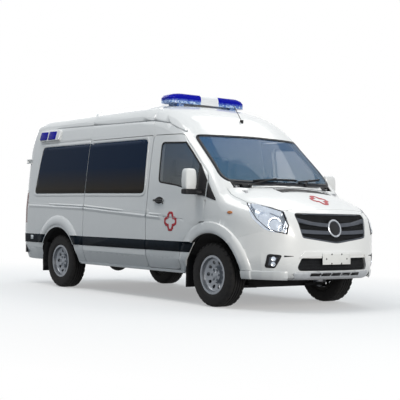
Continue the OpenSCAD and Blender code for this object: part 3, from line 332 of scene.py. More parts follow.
extras = {
    "strip": grainFinish("dark side strip", (0.004, 0.008, 0.013), 0.5, 700, 0.0002, 0.2,
                         Specular_IOR_Level=0.04),
    "crossRed": grainFinish("red film", (0.42, 0.008, 0.022), 0.35, 500, 0.00005, 0.1,
                            Specular_IOR_Level=0.3),
    "amber": lensFinish("amber lens", (0.75, 0.22, 0.02), 900),
    "chrome": metalFinish("bright reflector", (0.70, 0.76, 0.85), 0.16, 1.0, 20),
    "silver": metalFinish("badge silver", (0.50, 0.53, 0.57), 0.25, 0.9, 20),
    "darkChrome": metalFinish("dark bright metal", (0.085, 0.095, 0.115), 0.36, 0.55, 20,
                              Specular_IOR_Level=0.3),
    "lining": grainFinish("cab lining", (0.16, 0.19, 0.23), 0.75, 400, 0.0003, 0.1),
    "plate": grainFinish("blank plate", (0.74, 0.75, 0.74), 0.4, 300, 0.0001, 0.04),
    "frit": grainFinish("black glass edge", (0.004, 0.007, 0.012), 0.25, 600, 0.00005, 0.2,
                        Specular_IOR_Level=0.15),
    "seal": grainFinish("rubber seal", (0.006, 0.006, 0.007), 0.55, 500, 0.0002, 0.2,
                        Specular_IOR_Level=0.15),
    "mirrorGlass": metalFinish("mirror glass", (0.62, 0.66, 0.70), 0.09, 1.0, 12),
    "bulb": grainFinish("bulb glass", (0.85, 0.88, 0.9), 0.2, 300, 0.00005, 0.04),
    "wheelInside": grainFinish("dark wheel inside", (0.020, 0.019, 0.018), 0.7, 200, 0.0004, 0.3,
                               Specular_IOR_Level=0.2),
}
print("finishes made")


# a mesh made into a piece of the van; without a look of its own it takes that of its slot
def finishPiece(name, bm, slot, look=None, body="van_body", degrees=40, wall=0.0, outward=1, ease=0.0):
    mesh = bpy.data.meshes.new(name)
    bm.to_mesh(mesh)
    bm.free()
    mesh.shade_smooth()
    mesh.set_sharp_from_angle(angle=math.radians(degrees))
    mesh.materials.append(extras[look] if look else finishes[slot])
    piece = bpy.data.objects.new(name, mesh)
    scene.collection.objects.link(piece)
    if wall:
        thick = piece.modifiers.new("wall", "SOLIDIFY")
        thick.thickness = wall
        thick.offset = outward
    if ease:
        soften = piece.modifiers.new("ease", "BEVEL")
        soften.width = ease
        soften.segments = 3
        soften.angle_limit = math.radians(40)
    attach(piece, body)
    return piece


def copyNode(*names):
    bm = bmesh.new()
    for name in names:
        bm.from_mesh(nodes[name].data)
    bmesh.ops.remove_doubles(bm, verts=bm.verts, dist=0.00002)
    return bm


def treeOf(*names):
    bm = copyNode(*names)
    tree = BVHTree.FromBMesh(bm)
    bm.free()
    return tree


def keepFaces(bm, test):
    away = [face for face in bm.faces if not test(face)]
    bmesh.ops.delete(bm, geom=away, context="FACES")
    return bm


def clip(bm, point, normal, onlyCut=False):
    everything = bm.verts[:] + bm.edges[:] + bm.faces[:]
    bmesh.ops.bisect_plane(bm, geom=everything, dist=0.00001, plane_co=point, plane_no=normal,
                           clear_outer=not onlyCut)


def slices(bm, axis, step):
    spots = [vert.co[axis] for vert in bm.verts]
    normal = Vector((0, 0, 0))
    normal[axis] = 1
    for turn in range(1, int((max(spots) - min(spots)) / step) + 1):
        clip(bm, normal * (min(spots) + turn * step), normal, True)


def join(target, bm):
    mesh = bpy.data.meshes.new("scratch")
    bm.to_mesh(mesh)
    bm.free()
    target.from_mesh(mesh)
    bpy.data.meshes.remove(mesh)
    return target


def aimed(centre, aim):
    return Matrix.Translation(centre) @ Vector(aim).to_track_quat("Z", "Y").to_matrix().to_4x4()


# a turned shape: its profile of radius and height, spun round an axis
def lathe(profile, centre, aim, steps=24):
    bm = bmesh.new()
    verts = [bm.verts.new((radius, 0, height)) for radius, height in profile]
    edges = [bm.edges.new(pair) for pair in zip(verts, verts[1:])]
    bmesh.ops.spin(bm, geom=verts + edges, cent=(0, 0, 0), axis=(0, 0, 1), angle=math.tau, steps=steps,
                   use_merge=True)
    bmesh.ops.remove_doubles(bm, verts=bm.verts, dist=0.00001)
    bmesh.ops.recalc_face_normals(bm, faces=bm.faces)
    bm.transform(aimed(centre, aim))
    return bm


# faces drawn out along one direction into a block
def drawOut(bm, depth):
    grown = bmesh.ops.extrude_face_region(bm, geom=bm.faces[:])["geom"]
    verts = [part for part in grown if isinstance(part, bmesh.types.BMVert)]
    bmesh.ops.translate(bm, vec=depth, verts=verts)
    bmesh.ops.recalc_face_normals(bm, faces=bm.faces)


# a plate from its outline, with eased edges
def plate(points, depth, ease, segments=2):
    bm = bmesh.new()
    bm.faces.new([bm.verts.new(point) for point in points])
    drawOut(bm, depth)
    bmesh.ops.bevel(bm, geom=bm.edges[:], offset=ease, affect="EDGES", segments=segments, profile=0.5,
                    material=-1)
    return bm


# the border of some faces, without their middle
def ringOf(bm, width):
    inner = bm.faces[:]
    bmesh.ops.inset_region(bm, faces=inner, thickness=width, use_even_offset=True, use_boundary=True)
    bmesh.ops.delete(bm, geom=inner, context="FACES")
    return bm


# faces turned over where they look along the aim
def faceAway(bm, aim, slack=0.0):
    bm.normal_update()
    turned = [face for face in bm.faces if face.normal.dot(Vector(aim)) > slack]
    bmesh.ops.reverse_faces(bm, faces=turned)


def paintFaces(piece, material, test):
    mesh = piece.data
    mesh.materials.append(material)
    for polygon in mesh.polygons:
        if test(polygon):
            polygon.material_index = len(mesh.materials) - 1


def tube(points, radius, sections=3, smooth=True):
    curve = bpy.data.curves.new("path", "CURVE")
    curve.dimensions = "3D"
    curve.bevel_depth = radius
    curve.bevel_resolution = sections
    curve.use_fill_caps = True
    curve.resolution_u = 6
    line = curve.splines.new("NURBS" if smooth else "POLY")
    line.points.add(len(points) - 1)
    for point, spot in zip(line.points, points):
        point.co = (*spot, 1)
    if smooth:
        line.order_u = min(3, len(points))
        line.use_endpoint_u = True
    holder = bpy.data.objects.new("path", curve)
    bm = bmesh.new()
    bm.from_mesh(holder.to_mesh())
    holder.to_mesh_clear()
    bpy.data.objects.remove(holder)
    bpy.data.curves.remove(curve)
    bmesh.ops.remove_doubles(bm, verts=bm.verts, dist=0.00001)
    bmesh.ops.recalc_face_normals(bm, faces=bm.faces)
    return bm


# points laid on a surface, or on the outer one of two; a point that finds nothing near the others goes,
# but where there are two surfaces it takes the depth of its neighbours
def dropOn(bm, tree, aim, lift, deep=None, deepLift=0.0, spread=0.3):
    aim = Vector(aim).normalized()
    missed = []
    depths = {}
    for vert in bm.verts:
        found = []
        for layer, rise in ((tree, lift), (deep, deepLift)):
            spot, normal = layer.ray_cast(vert.co - aim, aim)[:2] if layer else (None, None)
            if spot:
                found.append(spot + normal * rise)
        if found:
            vert.co = min(found, key=aim.dot)
            depths[vert] = vert.co.dot(aim)
        else:
            missed.append(vert)
    if depths:
        usual = sorted(depths.values())[len(depths) // 2]
        missed += [vert for vert, depth in depths.items() if abs(depth - usual) > spread]
    lost = set(missed)
    for vert in missed if deep else []:
        near = [edge.other_vert(vert) for edge in vert.link_edges]
        levels = [depths[other] for other in near if other not in lost]
        if levels:
            vert.co += aim * (sum(levels) / len(levels) - vert.co.dot(aim))
            missed = [other for other in missed if other != vert]
    bmesh.ops.delete(bm, geom=missed, context="VERTS")


# corners of an outline rounded off, each by its own radius
def rounded(points):
    steps = 4
    loop = []
    for place, (point, radius) in enumerate(points):
        before = (points[place - 1][0] - point).normalized() * radius
        after = (points[(place + 1) % len(points)][0] - point).normalized() * radius
        if radius < 0.003:
            loop.append(point)
            continue
        for step in range(steps + 1):
            share = step / steps
            loop.append(point + before * (1 - share) ** 2 + after * share ** 2)
    return loop


def sideLoop(points, sign):
    return rounded([(at(x, sign * 1.2, z), radius) for x, z, radius in points])


# flat outlines, or a strip between two chains, laid on a curved panel along one direction
def film(name, loops, tree, aim, slot, look=None, body="van_body", thick=0.0008, step=0.03, lift=0.0004,
         ease=0.0, chains=False, **extra):
    bm = bmesh.new()
    for loop in loops:
        verts = [bm.verts.new(point) for point in loop]
        for pair in zip(verts, verts[1:] if chains else verts[1:] + verts[:1]):
            bm.edges.new(pair)
    if chains:
        bmesh.ops.bridge_loops(bm, edges=bm.edges[:])
    else:
        bmesh.ops.triangle_fill(bm, edges=bm.edges[:], use_beauty=True)
    away = max(range(3), key=lambda axis: abs(aim[axis]))
    for axis in range(3):
        if axis != away:
            slices(bm, axis, step)
    dropOn(bm, tree, aim, lift, **extra)
    faceAway(bm, aim)
    finishPiece(name, bm, slot, look, body, wall=thick, ease=ease)


def mirrored(bm, sign):
    if sign > 0:
        bm.transform(Matrix.Scale(-1, 4, (0, 1, 0)))
        bmesh.ops.reverse_faces(bm, faces=bm.faces)
    return bm


# CAD panels carried over with soft shading, lining on the faces that look into the van
lined = {"front_door_right": -1, "front_door_left": 1, "side_right": -1, "side_left": 1, "sliding_door": -1}


def looksInside(node, face):
    if node in lined:
        return face.normal.y * lined[node] < -0.3
    if node == "roof":
        return face.normal.z < -0.5
    return node in ("rear_door_right", "rear_door_left") and face.normal.x > 0.5


def carryOver(node):
    bm = copyNode(node)
    if node == "blue_lenses":
        keepFaces(bm, lambda face: face.calc_center_median().z > 2.3)
    if not node.startswith("front_door_"):
        bmesh.ops.dissolve_limit(bm, angle_limit=math.radians(0.3), verts=bm.verts, edges=bm.edges)
    inside = [looksInside(node, face) for face in bm.faces]
    piece = finishPiece(node + "_finished", bm, slotOf[node], body=bodyOf[node], degrees=30)
    if slotOf[node] == "white_paint":
        if any(inside):
            piece.data.materials.append(extras["lining"])
        for polygon, inward in zip(piece.data.polygons, inside):
            polygon.material_index = int(inward)
        piece.modifiers.new("even", "WEIGHTED_NORMAL").keep_sharp = True
    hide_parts(node)
    return piece


remade = {"front_lamps", "mirror_right", "mirror_left", "seats"}
remade |= {name for name in nodes if name.startswith("tyre_")}
carried = {node: carryOver(node) for node in nodes if node not in remade}
# rim faces that look in towards the van are drawn near black
for node in (name for name in carried if name.startswith("rim_")):
    sign = -1 if node.endswith("right") else 1
    paintFaces(carried[node], extras["wheelInside"], lambda polygon: polygon.normal.y * sign < -0.2)


def insideArch(polygon):
    for axle in (frontAxle, rearAxle):
        reach = Vector((polygon.center.x - axle, 0, polygon.center.z - wheelHeight))
        isNear = reach.length < 0.54 and abs(polygon.center.y) > 0.5
        if isNear and polygon.normal.dot(reach) < -0.5 * reach.length:
            return True
    return False


for node in ("side_right", "side_left", "wings", "front_bumper"):
    paintFaces(carried[node], finishes["underbody"], insideArch)
paintFaces(carried["hinge_brackets"], finishes["white_paint"],
           lambda polygon: polygon.center.x < rearAxle - 0.84)
print("panels carried over:", len(carried))

# dark strips along the sides
strip = {"low": 0.590, "high": 0.708, "proud": 0.004, "arch": 0.480}


def stripPart(name, node, sign, planes):
    bm = copyNode(node)
    clip(bm, (0, 0, strip["low"]), (0, 0, -1))
    clip(bm, (0, 0, strip["high"]), (0, 0, 1))
    for point, normal in planes:
        clip(bm, point, normal)
    keepFaces(bm, lambda face: face.normal.y * sign > -0.05 and face.calc_center_median().y * sign > 0.955)
    if not bm.faces:
        bm.free()
        return
    bmesh.ops.remove_doubles(bm, verts=bm.verts, dist=0.0004)
    finishPiece(name, bm, "black_plastic", "strip", body=bodyOf[node], wall=strip["proud"])


def archPlane(axle, way):
    spots = []
    for height in (strip["low"], strip["high"]):
        rise = height - wheelHeight
        spots.append(Vector((axle + way * math.sqrt(strip["arch"] ** 2 - rise ** 2), 0, height)))
    along = spots[1] - spots[0]
    return spots[0], Vector((along.z, 0, -along.x)) * -way


for side, sign in sides:
    behind = [archPlane(rearAxle, -1)]
    between = [archPlane(rearAxle, 1), archPlane(frontAxle, -1)]
    stripPart("strip_rear_" + side, "side_" + side, sign, behind)
    stripPart("strip_middle_" + side, "side_" + side, sign, between)
    stripPart("strip_front_" + side, "front_door_" + side, sign, between)
    stripPart("strip_wing_" + side, "wings", sign, between)
stripPart("strip_sliding", "sliding_door", -1, between)
print("side strips laid")

# black edges and seals of the windows
seals = [
    {"node": "side_glass", "width": 0.022, "proud": 0.0026, "slot": "dark_glass", "finish": "frit"},
    {"node": "windscreen", "width": 0.042, "proud": 0.0012, "slot": "black_plastic", "finish": "frit"},
]
for door, width in (("front", 0.018), ("rear", 0.020)):
    for side, sign in sides:
        seals.append({"node": "%s_door_glass_%s" % (door, side), "width": width, "proud": 0.004,
                      "slot": "black_plastic", "finish": "seal"})


def looksOut(node, face):
    if node == "windscreen":
        return face.normal.x > 0.2 and face.normal.z > 0.2
    if node.startswith("rear"):
        return face.normal.x < -0.7
    return face.normal.y * face.calc_center_median().y > 0 and abs(face.normal.y) > 0.7


def sealRing(seal):
    node = seal["node"]
    bm = ringOf(keepFaces(copyNode(node), lambda face: looksOut(node, face)), seal["width"])
    finishPiece(node + "_edge", bm, seal["slot"], seal["finish"], body=bodyOf[node], wall=seal["proud"])


for seal in seals:
    sealRing(seal)
print("window edges set")

# bonded dark panes that run over the pillars up to the shut line, and the raised frame round them
covers = {
    "quarter": [(-4.000, 1.272, 0.06), (-3.893, 1.922, 0.07), (-2.668, 1.922, 0.006), (-2.668, 1.270, 0.006)],
    "slider": [(-2.652, 1.270, 0.006), (-2.652, 1.922, 0.006), (-1.335, 1.922, 0.07), (-1.308, 1.262, 0.07)],
}
paneFrames = {
    "quarter": [[(-2.668, 1.236, 0), (-4.044, 1.238, 0.10), (-3.924, 1.956, 0.10), (-2.668, 1.956, 0)],
                [(-2.668, 1.263, 0), (-4.009, 1.265, 0.06), (-3.899, 1.930, 0.07), (-2.668, 1.930, 0)]],
    "slider": [[(-2.652, 1.956, 0), (-1.304, 1.956, 0.10), (-1.274, 1.228, 0.10), (-2.652, 1.236, 0)],
               [(-2.652, 1.930, 0), (-1.328, 1.930, 0.07), (-1.300, 1.255, 0.07), (-2.652, 1.263, 0)]],
}
for side, sign in sides:
    panels = treeOf("side_" + side, "sliding_door") if sign < 0 else treeOf("side_" + side)
    panes = treeOf("side_glass")
    for name, points in covers.items():
        film("%s_pane_%s" % (name, side), [sideLoop(points, sign)], panels, (0, -sign, 0), "dark_glass",
             thick=0.0026, step=0.06, lift=0.0008, deep=panes, deepLift=0.0038)
        film("%s_frame_%s" % (name, side), [sideLoop(chain, sign) for chain in paneFrames[name]], panels,
             (0, -sign, 0), "white_paint", thick=0.0055, step=0.06, lift=0.0003, ease=0.002, chains=True)
print("panes bonded on")

# outlined crosses on the front doors and the bonnet
cross = {"arm": 0.120, "half": 0.060, "lobe": 0.022, "band": 0.030, "boldBand": 0.034}


def crossLoop(grow):
    arm = cross["arm"] - grow
    half = cross["half"] - grow
    lobe = cross["lobe"]
    tip = arm - lobe * 0.2
    quarter = [(tip, -half * 0.62), (arm, -half * 0.25), (arm, half * 0.25), (tip, half * 0.62),
               (arm - lobe, half * 0.74), (arm - lobe * 1.25, half), (half + 0.004, half)]
    loop = []
    for turn in range(4):
        swing = Matrix.Rotation(turn * math.pi / 2, 2)
        loop += [swing @ Vector(point) for point in quarter]
    return loop


def crossOn(name, tree, centre, across, up, aim, body, size, band):
    loops = [[centre + across * (point.x * size) + up * (point.y * size) for point in crossLoop(grow)]
             for grow in (0.0, band)]
    film(name, loops, tree, aim, "lamp_red", "crossRed", body=body, thick=0.001, step=0.012, lift=0.001)


lengthways = Vector((1, 0, 0))
for side, sign in sides:
    crossOn("door_cross_" + side, treeOf("front_door_" + side), at(-0.729, sign * 1.1, 0.934), lengthways,
            Vector((0, 0, 0.95)), (0, -sign, 0), "front_door_" + side, 1.0, cross["band"])
crossOn("bonnet_cross", treeOf("bonnet"), at(0.612, 0.085, 1.6), lengthways, Vector((0, 1, 0)), (0, 0, -1),
        "bonnet", 1.02, cross["boldBand"])
print("crosses laid")


# black slot across the bonnet, black corners at the mirrors, side lamps and reflectors
slotOutline = [(0.262, -0.300), (0.392, -0.275), (0.372, 0.10), (0.352, 0.535), (0.262, 0.510), (0.278, 0.10)]
doorCorner = [(-0.284, 1.602), (-0.114, 1.404), (-0.114, 1.222), (-0.250, 1.254), (-0.268, 1.300),
              (-0.270, 1.560)]
bodyCorner = [(-0.090, 1.376), (0.064, 1.196), (0.070, 1.180), (0.055, 1.178), (-0.090, 1.217)]
repeater = [(0.307 + 0.034 * math.cos(turn), 1.047 + 0.017 * math.sin(turn))
            for turn in (math.tau * step / 20 for step in range(20))]
reflector = [(-4.050, 0.632), (-3.985, 0.632), (-3.985, 0.688), (-4.050, 0.688)]


def sideFilm(name, points, tree, sign, slot, look=None, **extra):
    film(name, [[at(x, sign * 1.2, z) for x, z in points]], tree, (0, -sign, 0), slot, look, **extra)


film("bonnet_slot", [[at(x, y, 1.7) for x, y in slotOutline]], treeOf("bonnet"), (0, 0, -1), "black_plastic",
     body="bonnet", thick=0.002, step=0.04)
for side, sign in sides:
    door = "front_door_" + side
    sideFilm("mirror_corner_" + side, doorCorner, treeOf(door, "front_door_glass_" + side), sign,
             "black_plastic", body=door, thick=0.006, step=0.04)
    sideFilm("body_corner_" + side, bodyCorner, treeOf("wings", "side_" + side, "cowl"), sign,
             "black_plastic", thick=0.004, step=0.04)
    sideFilm("repeater_" + side, repeater, treeOf("wings"), sign, "lamp_clear", "amber", thick=0.008,
             step=0.012)
    sideFilm("rear_reflector_" + side, reflector, treeOf("side_" + side), sign, "lamp_clear", "bulb",
             thick=0.007)
print("slot, corners and side lamps laid")


# lamps: clear cover, bright bucket behind it, bowls with bulbs, and the fog lamps
bowls = [
    {"at": (0.752, 0.705, 0.925), "aim": (0.86, 0.42, 0.16), "radius": 0.070},
    {"at": (0.640, 0.762, 1.005), "aim": (0.80, 0.52, 0.24), "radius": 0.058},
    {"at": (0.845, 0.640, 0.890), "aim": (0.92, 0.30, 0.12), "radius": 0.046},
]


lampEdge = [(0.882, 0.640, 0.826), (0.884, 0.622, 0.922), (0.790, 0.622, 1.066), (0.450, 0.822, 1.176),
            (0.438, 0.838, 1.164), (0.474, 0.850, 1.126), (0.627, 0.858, 0.984), (0.734, 0.806, 0.890),
            (0.817, 0.736, 0.846)]
lampCheek = [(0.884, 0.618, 0.924), (0.790, 0.618, 1.070), (0.800, 0.560, 1.090), (0.930, 0.540, 1.040),
             (0.930, 0.560, 0.920)]
# outline of the painted shadow along the bumper's fold beside each fog lamp
fogCreaseShadow = [(1.3, 0.692, 0.604), (1.3, 0.575, 0.598), (1.3, 0.572, 0.594), (1.3, 0.697, 0.582)]
fogTop = 0.75
lampFace = treeOf("front_lamps")


def lampOut(face, sign):
    return face.normal.y * sign > 0.1 and face.normal.x > 0.1


def lampPart(sign, isHigh):
    def belongs(face):
        middle = face.calc_center_median()
        return middle.y * sign > 0 and (middle.z > fogTop) == isHigh

    return keepFaces(copyNode("front_lamps"), belongs)


def handed(points, sign):
    return [at(x, sign * y, z) for x, y, z in points]


def headlamp(side, sign):
    bucket = lampPart(sign, True)
    cover = keepFaces(bucket.copy(), lambda face: lampOut(face, sign))
    rim = ringOf(cover.copy(), 0.011)
    finishPiece("headlamp_cover_" + side, cover, "lamp_clear", degrees=45, wall=0.003, outward=-1)
    finishPiece("headlamp_rim_" + side, rim, "bare_steel", "chrome", degrees=45, wall=0.002)
    keepFaces(bucket, lambda face: not lampOut(face, sign))
    bmesh.ops.reverse_faces(bucket, faces=bucket.faces)
    finishPiece("headlamp_bucket_" + side, bucket, "bare_steel", "chrome", degrees=30)
    shells = bmesh.new()
    bulbs = bmesh.new()
    for bowl in bowls:
        radius = bowl["radius"]
        x, y, z = bowl["aim"]
        aim = Vector((x, sign * y, z)).normalized()
        foot = handed([bowl["at"]], sign)[0] - aim * 0.030
        profile = [(radius * share, 0.55 * radius * share * share) for share in (0.0, 0.25, 0.5, 0.75, 1.0)]
        profile += [(radius * 1.08, 0.55 * radius), (radius * 1.08, 0.40 * radius)]
        join(shells, lathe(profile, foot, aim, 28))
        profile = [(0.0, 0.36), (0.16, 0.33), (0.22, 0.2), (0.22, 0.0)]
        join(bulbs, lathe([(out * radius, rise * radius) for out, rise in profile], foot, aim, 16))
    finishPiece("headlamp_bowls_" + side, shells, "bare_steel", "chrome")
    finishPiece("headlamp_bulbs_" + side, bulbs, "lamp_clear", "bulb")


# lower inner corner of the headlamp, the dark line round it and the paint beside it
def headlampEdge(side, sign):
    loop = handed(lampEdge, sign)
    centre = sum(loop, Vector()) / len(loop)
    inside = [centre + (spot - centre) * 0.93 for spot in loop]
    inward = (-0.66, -sign * 0.70, -0.15)
    film("headlamp_corner_" + side, [loop], treeOf("front_bumper", "wings"), inward, "bare_steel", "chrome",
         thick=0.001, step=0.010, lift=0.0006, spread=0.16)
    film("headlamp_edge_" + side, [loop, inside], treeOf("front_bumper", "wings", "front_lamps"), inward,
         "black_plastic", "seal", thick=0.003, step=0.012, lift=0.001)
    film("headlamp_cheek_" + side, [handed(lampCheek, sign)], lampFace, inward, "white_paint", thick=0.003,
         step=0.006, lift=0.0025, spread=0.1)


def fogLamp(side, sign):
    fog = lampPart(sign, False)
    bezel = ringOf(keepFaces(fog.copy(), lambda face: face.normal.x > 0.2), 0.030)
    finishPiece("fog_bezel_" + side, bezel, "black_plastic", degrees=45, wall=0.004)
    centre = sum((vert.co for vert in fog.verts), Vector()) / len(fog.verts)
    dish = [(0.0, 0.001), (0.012, 0.0015), (0.021, 0.006), (0.024, 0.006), (0.026, 0.0)]
    dishes = bmesh.new()
    for rise in (-0.030, 0.026):
        spot, out = frontHit(lampFace, centre.y, centre.z + rise)[:2]
        join(dishes, lathe(dish, spot, out, 20))
    finishPiece("fog_dishes_" + side, dishes, "lamp_clear", "chrome")
    finishPiece("fog_lamp_" + side, fog, "lamp_clear", "darkChrome", degrees=30)
    # black film on the bumper's fold by the fog lamp: painted shadow of the crease
    film("fog_crease_shadow_" + side, [handed(fogCreaseShadow, sign)], treeOf("front_bumper"), (-1, 0, 0), "black_plastic",
         thick=0.001)


for side, sign in sides:
    headlamp(side, sign)
    fogLamp(side, sign)
    headlampEdge(side, sign)

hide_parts("front_lamps")
print("lamps filled")


# fine mesh in both grilles, bent to the nose
meshes = [
    {"name": "upper", "bow": 4.5, "back": 0.062, "slope": 0.3, "middle": 0.885, "depth": 0.020,
     "outline": [(-0.515, 1.036), (0.515, 1.036), (0.466, 0.796), (0.0, 0.740), (-0.466, 0.796)]},
    {"name": "lower", "outline": [(-0.475, 0.568), (0.475, 0.568), (0.530, 0.447), (-0.530, 0.447)],
     "bow": 1.7, "back": 0.004, "slope": 0.0, "middle": 0.5, "depth": 0.017},
]
weave = {"pitch": 0.0165, "wire": 0.0042}


def sheetX(sheet, y, z, depth):
    reach = math.sqrt((sheet["bow"] - depth) ** 2 - y * y)
    return noseX - sheet["back"] - sheet["bow"] + reach - sheet["slope"] * (z - sheet["middle"])


def grilleMesh(sheet):
    heights = [z for y, z in sheet["outline"]]
    middle = (max(heights) + min(heights)) / 2
    bm = bmesh.new()
    count = int(1.2 / weave["pitch"])
    bmesh.ops.create_grid(bm, x_segments=count, y_segments=count, size=0.6)
    bm.transform(Matrix.Scale(0.62, 4, (0, 1, 0)) @ Matrix.Rotation(math.pi / 4, 4, "Z"))
    bm.transform(Matrix.Translation((0, middle, 0)))
    loop = sheet["outline"]
    for (y0, z0), (y1, z1) in zip(loop, loop[1:] + loop[:1]):
        clip(bm, (y0, z0, 0), (z0 - z1, y1 - y0, 0))
    bmesh.ops.wireframe(bm, faces=bm.faces[:], thickness=weave["wire"], use_replace=True,
                        use_even_offset=True, use_boundary=True)
    for vert in bm.verts:
        y, z, rise = vert.co
        vert.co = (sheetX(sheet, y, z, sheet["depth"]) + rise, y, z)
    bmesh.ops.recalc_face_normals(bm, faces=bm.faces)
    finishPiece("grille_mesh_" + sheet["name"], bm, "grille_plastic", degrees=30)


def isBar(polygon):
    x, y, z = polygon.center
    return z > 0.70 and x > sheetX(meshes[0], y, z, 0.0195)


for sheet in meshes:
    grilleMesh(sheet)
paintFaces(carried["grille"], extras["darkChrome"], isBar)
lean = math.radians(14)
badge = {"centre": at(0.902, 0, 0.885), "aim": (math.cos(lean), 0, math.sin(lean))}
ring = [(0.080, 0.036), (0.080, 0.047), (0.084, 0.051), (0.093, 0.051), (0.099, 0.046), (0.0995, 0.030)]
finishPiece("badge_ring", lathe(ring, badge["centre"], badge["aim"], 48), "bare_steel", "silver")
dome = [(0.0, 0.042), (0.03, 0.0415), (0.06, 0.040), (0.080, 0.037)]
finishPiece("badge_disc", lathe(dome, badge["centre"], badge["aim"], 48), "grille_plastic")
print("grilles filled")


# blank front plate on its holder
numberPlate = {"y": -0.028, "z": 0.566, "wide": 0.425, "tall": 0.120, "thick": 0.006, "gap": 0.004,
               "screws": [(-0.155, 0), (0.155, 0), (-0.075, -0.050), (-0.075, 0.050), (0.075, -0.050),
                          (0.075, 0.050)]}


def plateSpot(x, y, z):
    return Vector((x, numberPlate["y"] + y, numberPlate["z"] + z))


def plateOutline(x, inset):
    wide = numberPlate["wide"] / 2 - inset
    tall = numberPlate["tall"] / 2 - inset
    return [plateSpot(x, y * wide, z * tall) for y, z in ((-1, -1), (1, -1), (1, 1), (-1, 1))]


def frontPlate():
    nose = treeOf("front_bumper", "grille")
    hits = [frontHit(nose, numberPlate["y"] + y, numberPlate["z"] + z)[0]
            for y in (-0.2, 0, 0.2) for z in (-0.05, 0.05)]
    back = max(spot.x for spot in hits if spot) + numberPlate["gap"]
    front = back + numberPlate["thick"]
    bm = plate(plateOutline(back, 0), Vector((numberPlate["thick"], 0, 0)), 0.002)
    border = bmesh.new()
    border.faces.new([border.verts.new(spot) for spot in plateOutline(front - 0.0002, 0.016)])
    drawOut(ringOf(border, 0.0035), (0.0012, 0, 0))
    finishPiece("front_plate", join(bm, border), "bar_housing", "plate")
    screws = bmesh.new()
    for y, z in numberPlate["screws"]:
        head = [(0, 0.003), (0.005, 0.0025), (0.0095, 0.0)]
        join(screws, lathe(head, plateSpot(front, y, z), (1, 0, 0), 12))
    finishPiece("plate_screws", screws, "black_plastic")
    holder = plate(plateOutline(back - 0.016, 0.012), Vector((0.016, 0, 0)), 0.002)
    finishPiece("plate_holder", holder, "black_plastic")


frontPlate()
print("plate set")

# dark slots in the lower lip
lipSlot = {"pitch": 0.150, "half": 0.063, "low": 0.384, "high": 0.415, "slant": 0.012, "shift": -0.02}
lipLoops = []
for turn in range(-2, 3):
    middle = turn * lipSlot["pitch"] + lipSlot["shift"]
    lipLoops.append([Vector((noseX + 0.3, middle + way * lipSlot["half"] + isTop * lipSlot["slant"],
                             lipSlot["high" if isTop else "low"]))
                     for way, isTop in ((-1, 0), (1, 0), (1, 1), (-1, 1))])
film("lip_slots", lipLoops, treeOf("front_lip", "front_bumper"), (-1, 0, 0), "grille_plastic", "seal",
     thick=0.003, step=0.5, lift=0.002)

# raised panel above the lower grille
bumperStep = [(-0.511, 0.583), (-0.475, 0.632), (-0.451, 0.645), (0.451, 0.645), (0.475, 0.632),
              (0.511, 0.583), (0.505, 0.575), (-0.505, 0.575)]
film("bumper_panel", [[Vector((noseX + 0.3, y, z)) for y, z in bumperStep]], treeOf("front_bumper"),
     (-1, 0, 0), "white_paint", thick=0.009, lift=0.0003, ease=0.004)
print("lip slots and bumper panel laid")


# bent bands: a grid whose rows each have their own height or radius, and lift over the panel under them
def band(columns, rows, place):
    last = len(rows) - 1
    bm = bmesh.new()
    bmesh.ops.create_grid(bm, x_segments=columns, y_segments=last, size=1.0)
    for vert in bm.verts:
        row = rows[int(round((vert.co.y + 1) / 2 * last))]
        vert.co = place((vert.co.x + 1) / 2, row)
    bm.normal_update()
    return bm


# wheel arch flares above the strips; rows of radius and lift
valanceTop = 0.434
flares = [
    {"name": "front", "axle": 0.0, "start": 7, "middle": wheelHeight,
     "rows": [(0.588, 0.0004), (0.578, 0.006), (0.548, 0.011), (0.508, 0.013), (0.474, 0.012), (0.466, 0.006),
              (0.466, -0.02)]},
    {"name": "rear", "axle": rearAxle - frontAxle, "start": 12, "middle": 0.370,
     "rows": [(0.604, 0.0004), (0.594, 0.006), (0.560, 0.011), (0.518, 0.013), (0.486, 0.012), (0.478, 0.006),
              (0.478, -0.02)]},
]


def flarePiece(flare, side, sign):
    tree = treeOf("wings", "front_bumper", "side_" + side)

    def place(share, row):
        radius, lift = row
        turn = math.radians(flare["start"] + share * (180 - 2 * flare["start"]))
        x, z = flare["axle"] + radius * math.cos(turn), flare["middle"] + radius * math.sin(turn)
        spot = sideSpot(tree, x, z, sign)
        wide = spot.y * sign if spot and spot.y * sign > 0.86 else 0.0
        return at(x, sign * wide, z) + Vector((0, sign * lift, 0))

    def spoke(vert):
        return vert.co.z - flare["middle"], vert.co.x - frontAxle - flare["axle"]

    bm = band(72, flare["rows"], place)
    columns = {}
    for vert in bm.verts:
        columns.setdefault(round(math.atan2(*spoke(vert)), 3), []).append(vert)
    for verts in columns.values():
        held = [vert for vert in verts if abs(vert.co.y) > 0.5]
        edge = min(held, key=lambda vert: math.hypot(*spoke(vert)), default=None)
        for vert in verts:
            if abs(vert.co.y) < 0.5:
                vert.co.y += (abs(edge.co.y) if edge else 0.985) * sign
    halves = bmesh.new()
    for way in (-1, 1):
        half = bm.copy()
        clip(half, at(flare["axle"], 0, 0), (-way, 0, 0))
        isTail = way < 0 or flare["name"] == "rear"
        clip(half, (0, 0, strip["high"] + 0.004 if isTail else valanceTop), (0, 0, -1))
        join(halves, half)
    bm.free()
    bmesh.ops.remove_doubles(halves, verts=halves.verts, dist=0.0002)
    faceAway(halves, (0, -sign, 0), 0.1)
    finishPiece("%s_flare_%s" % (flare["name"], side), halves, "white_paint", degrees=50)


for flare in flares:
    for side, sign in sides:
        flarePiece(flare, side, sign)
print("flares set")

# swage along the sides: an overhang with a bright ledge under it
swage = {"line": [(-4.20, 1.128), (-2.64, 1.092), (-1.25, 1.012), (-0.88, 0.995), (-0.70, 0.990)],
         "rows": [(0.034, -0.003), (0.012, 0.008), (0.001, 0.0005), (-0.020, 0.009), (-0.060, -0.003)]}


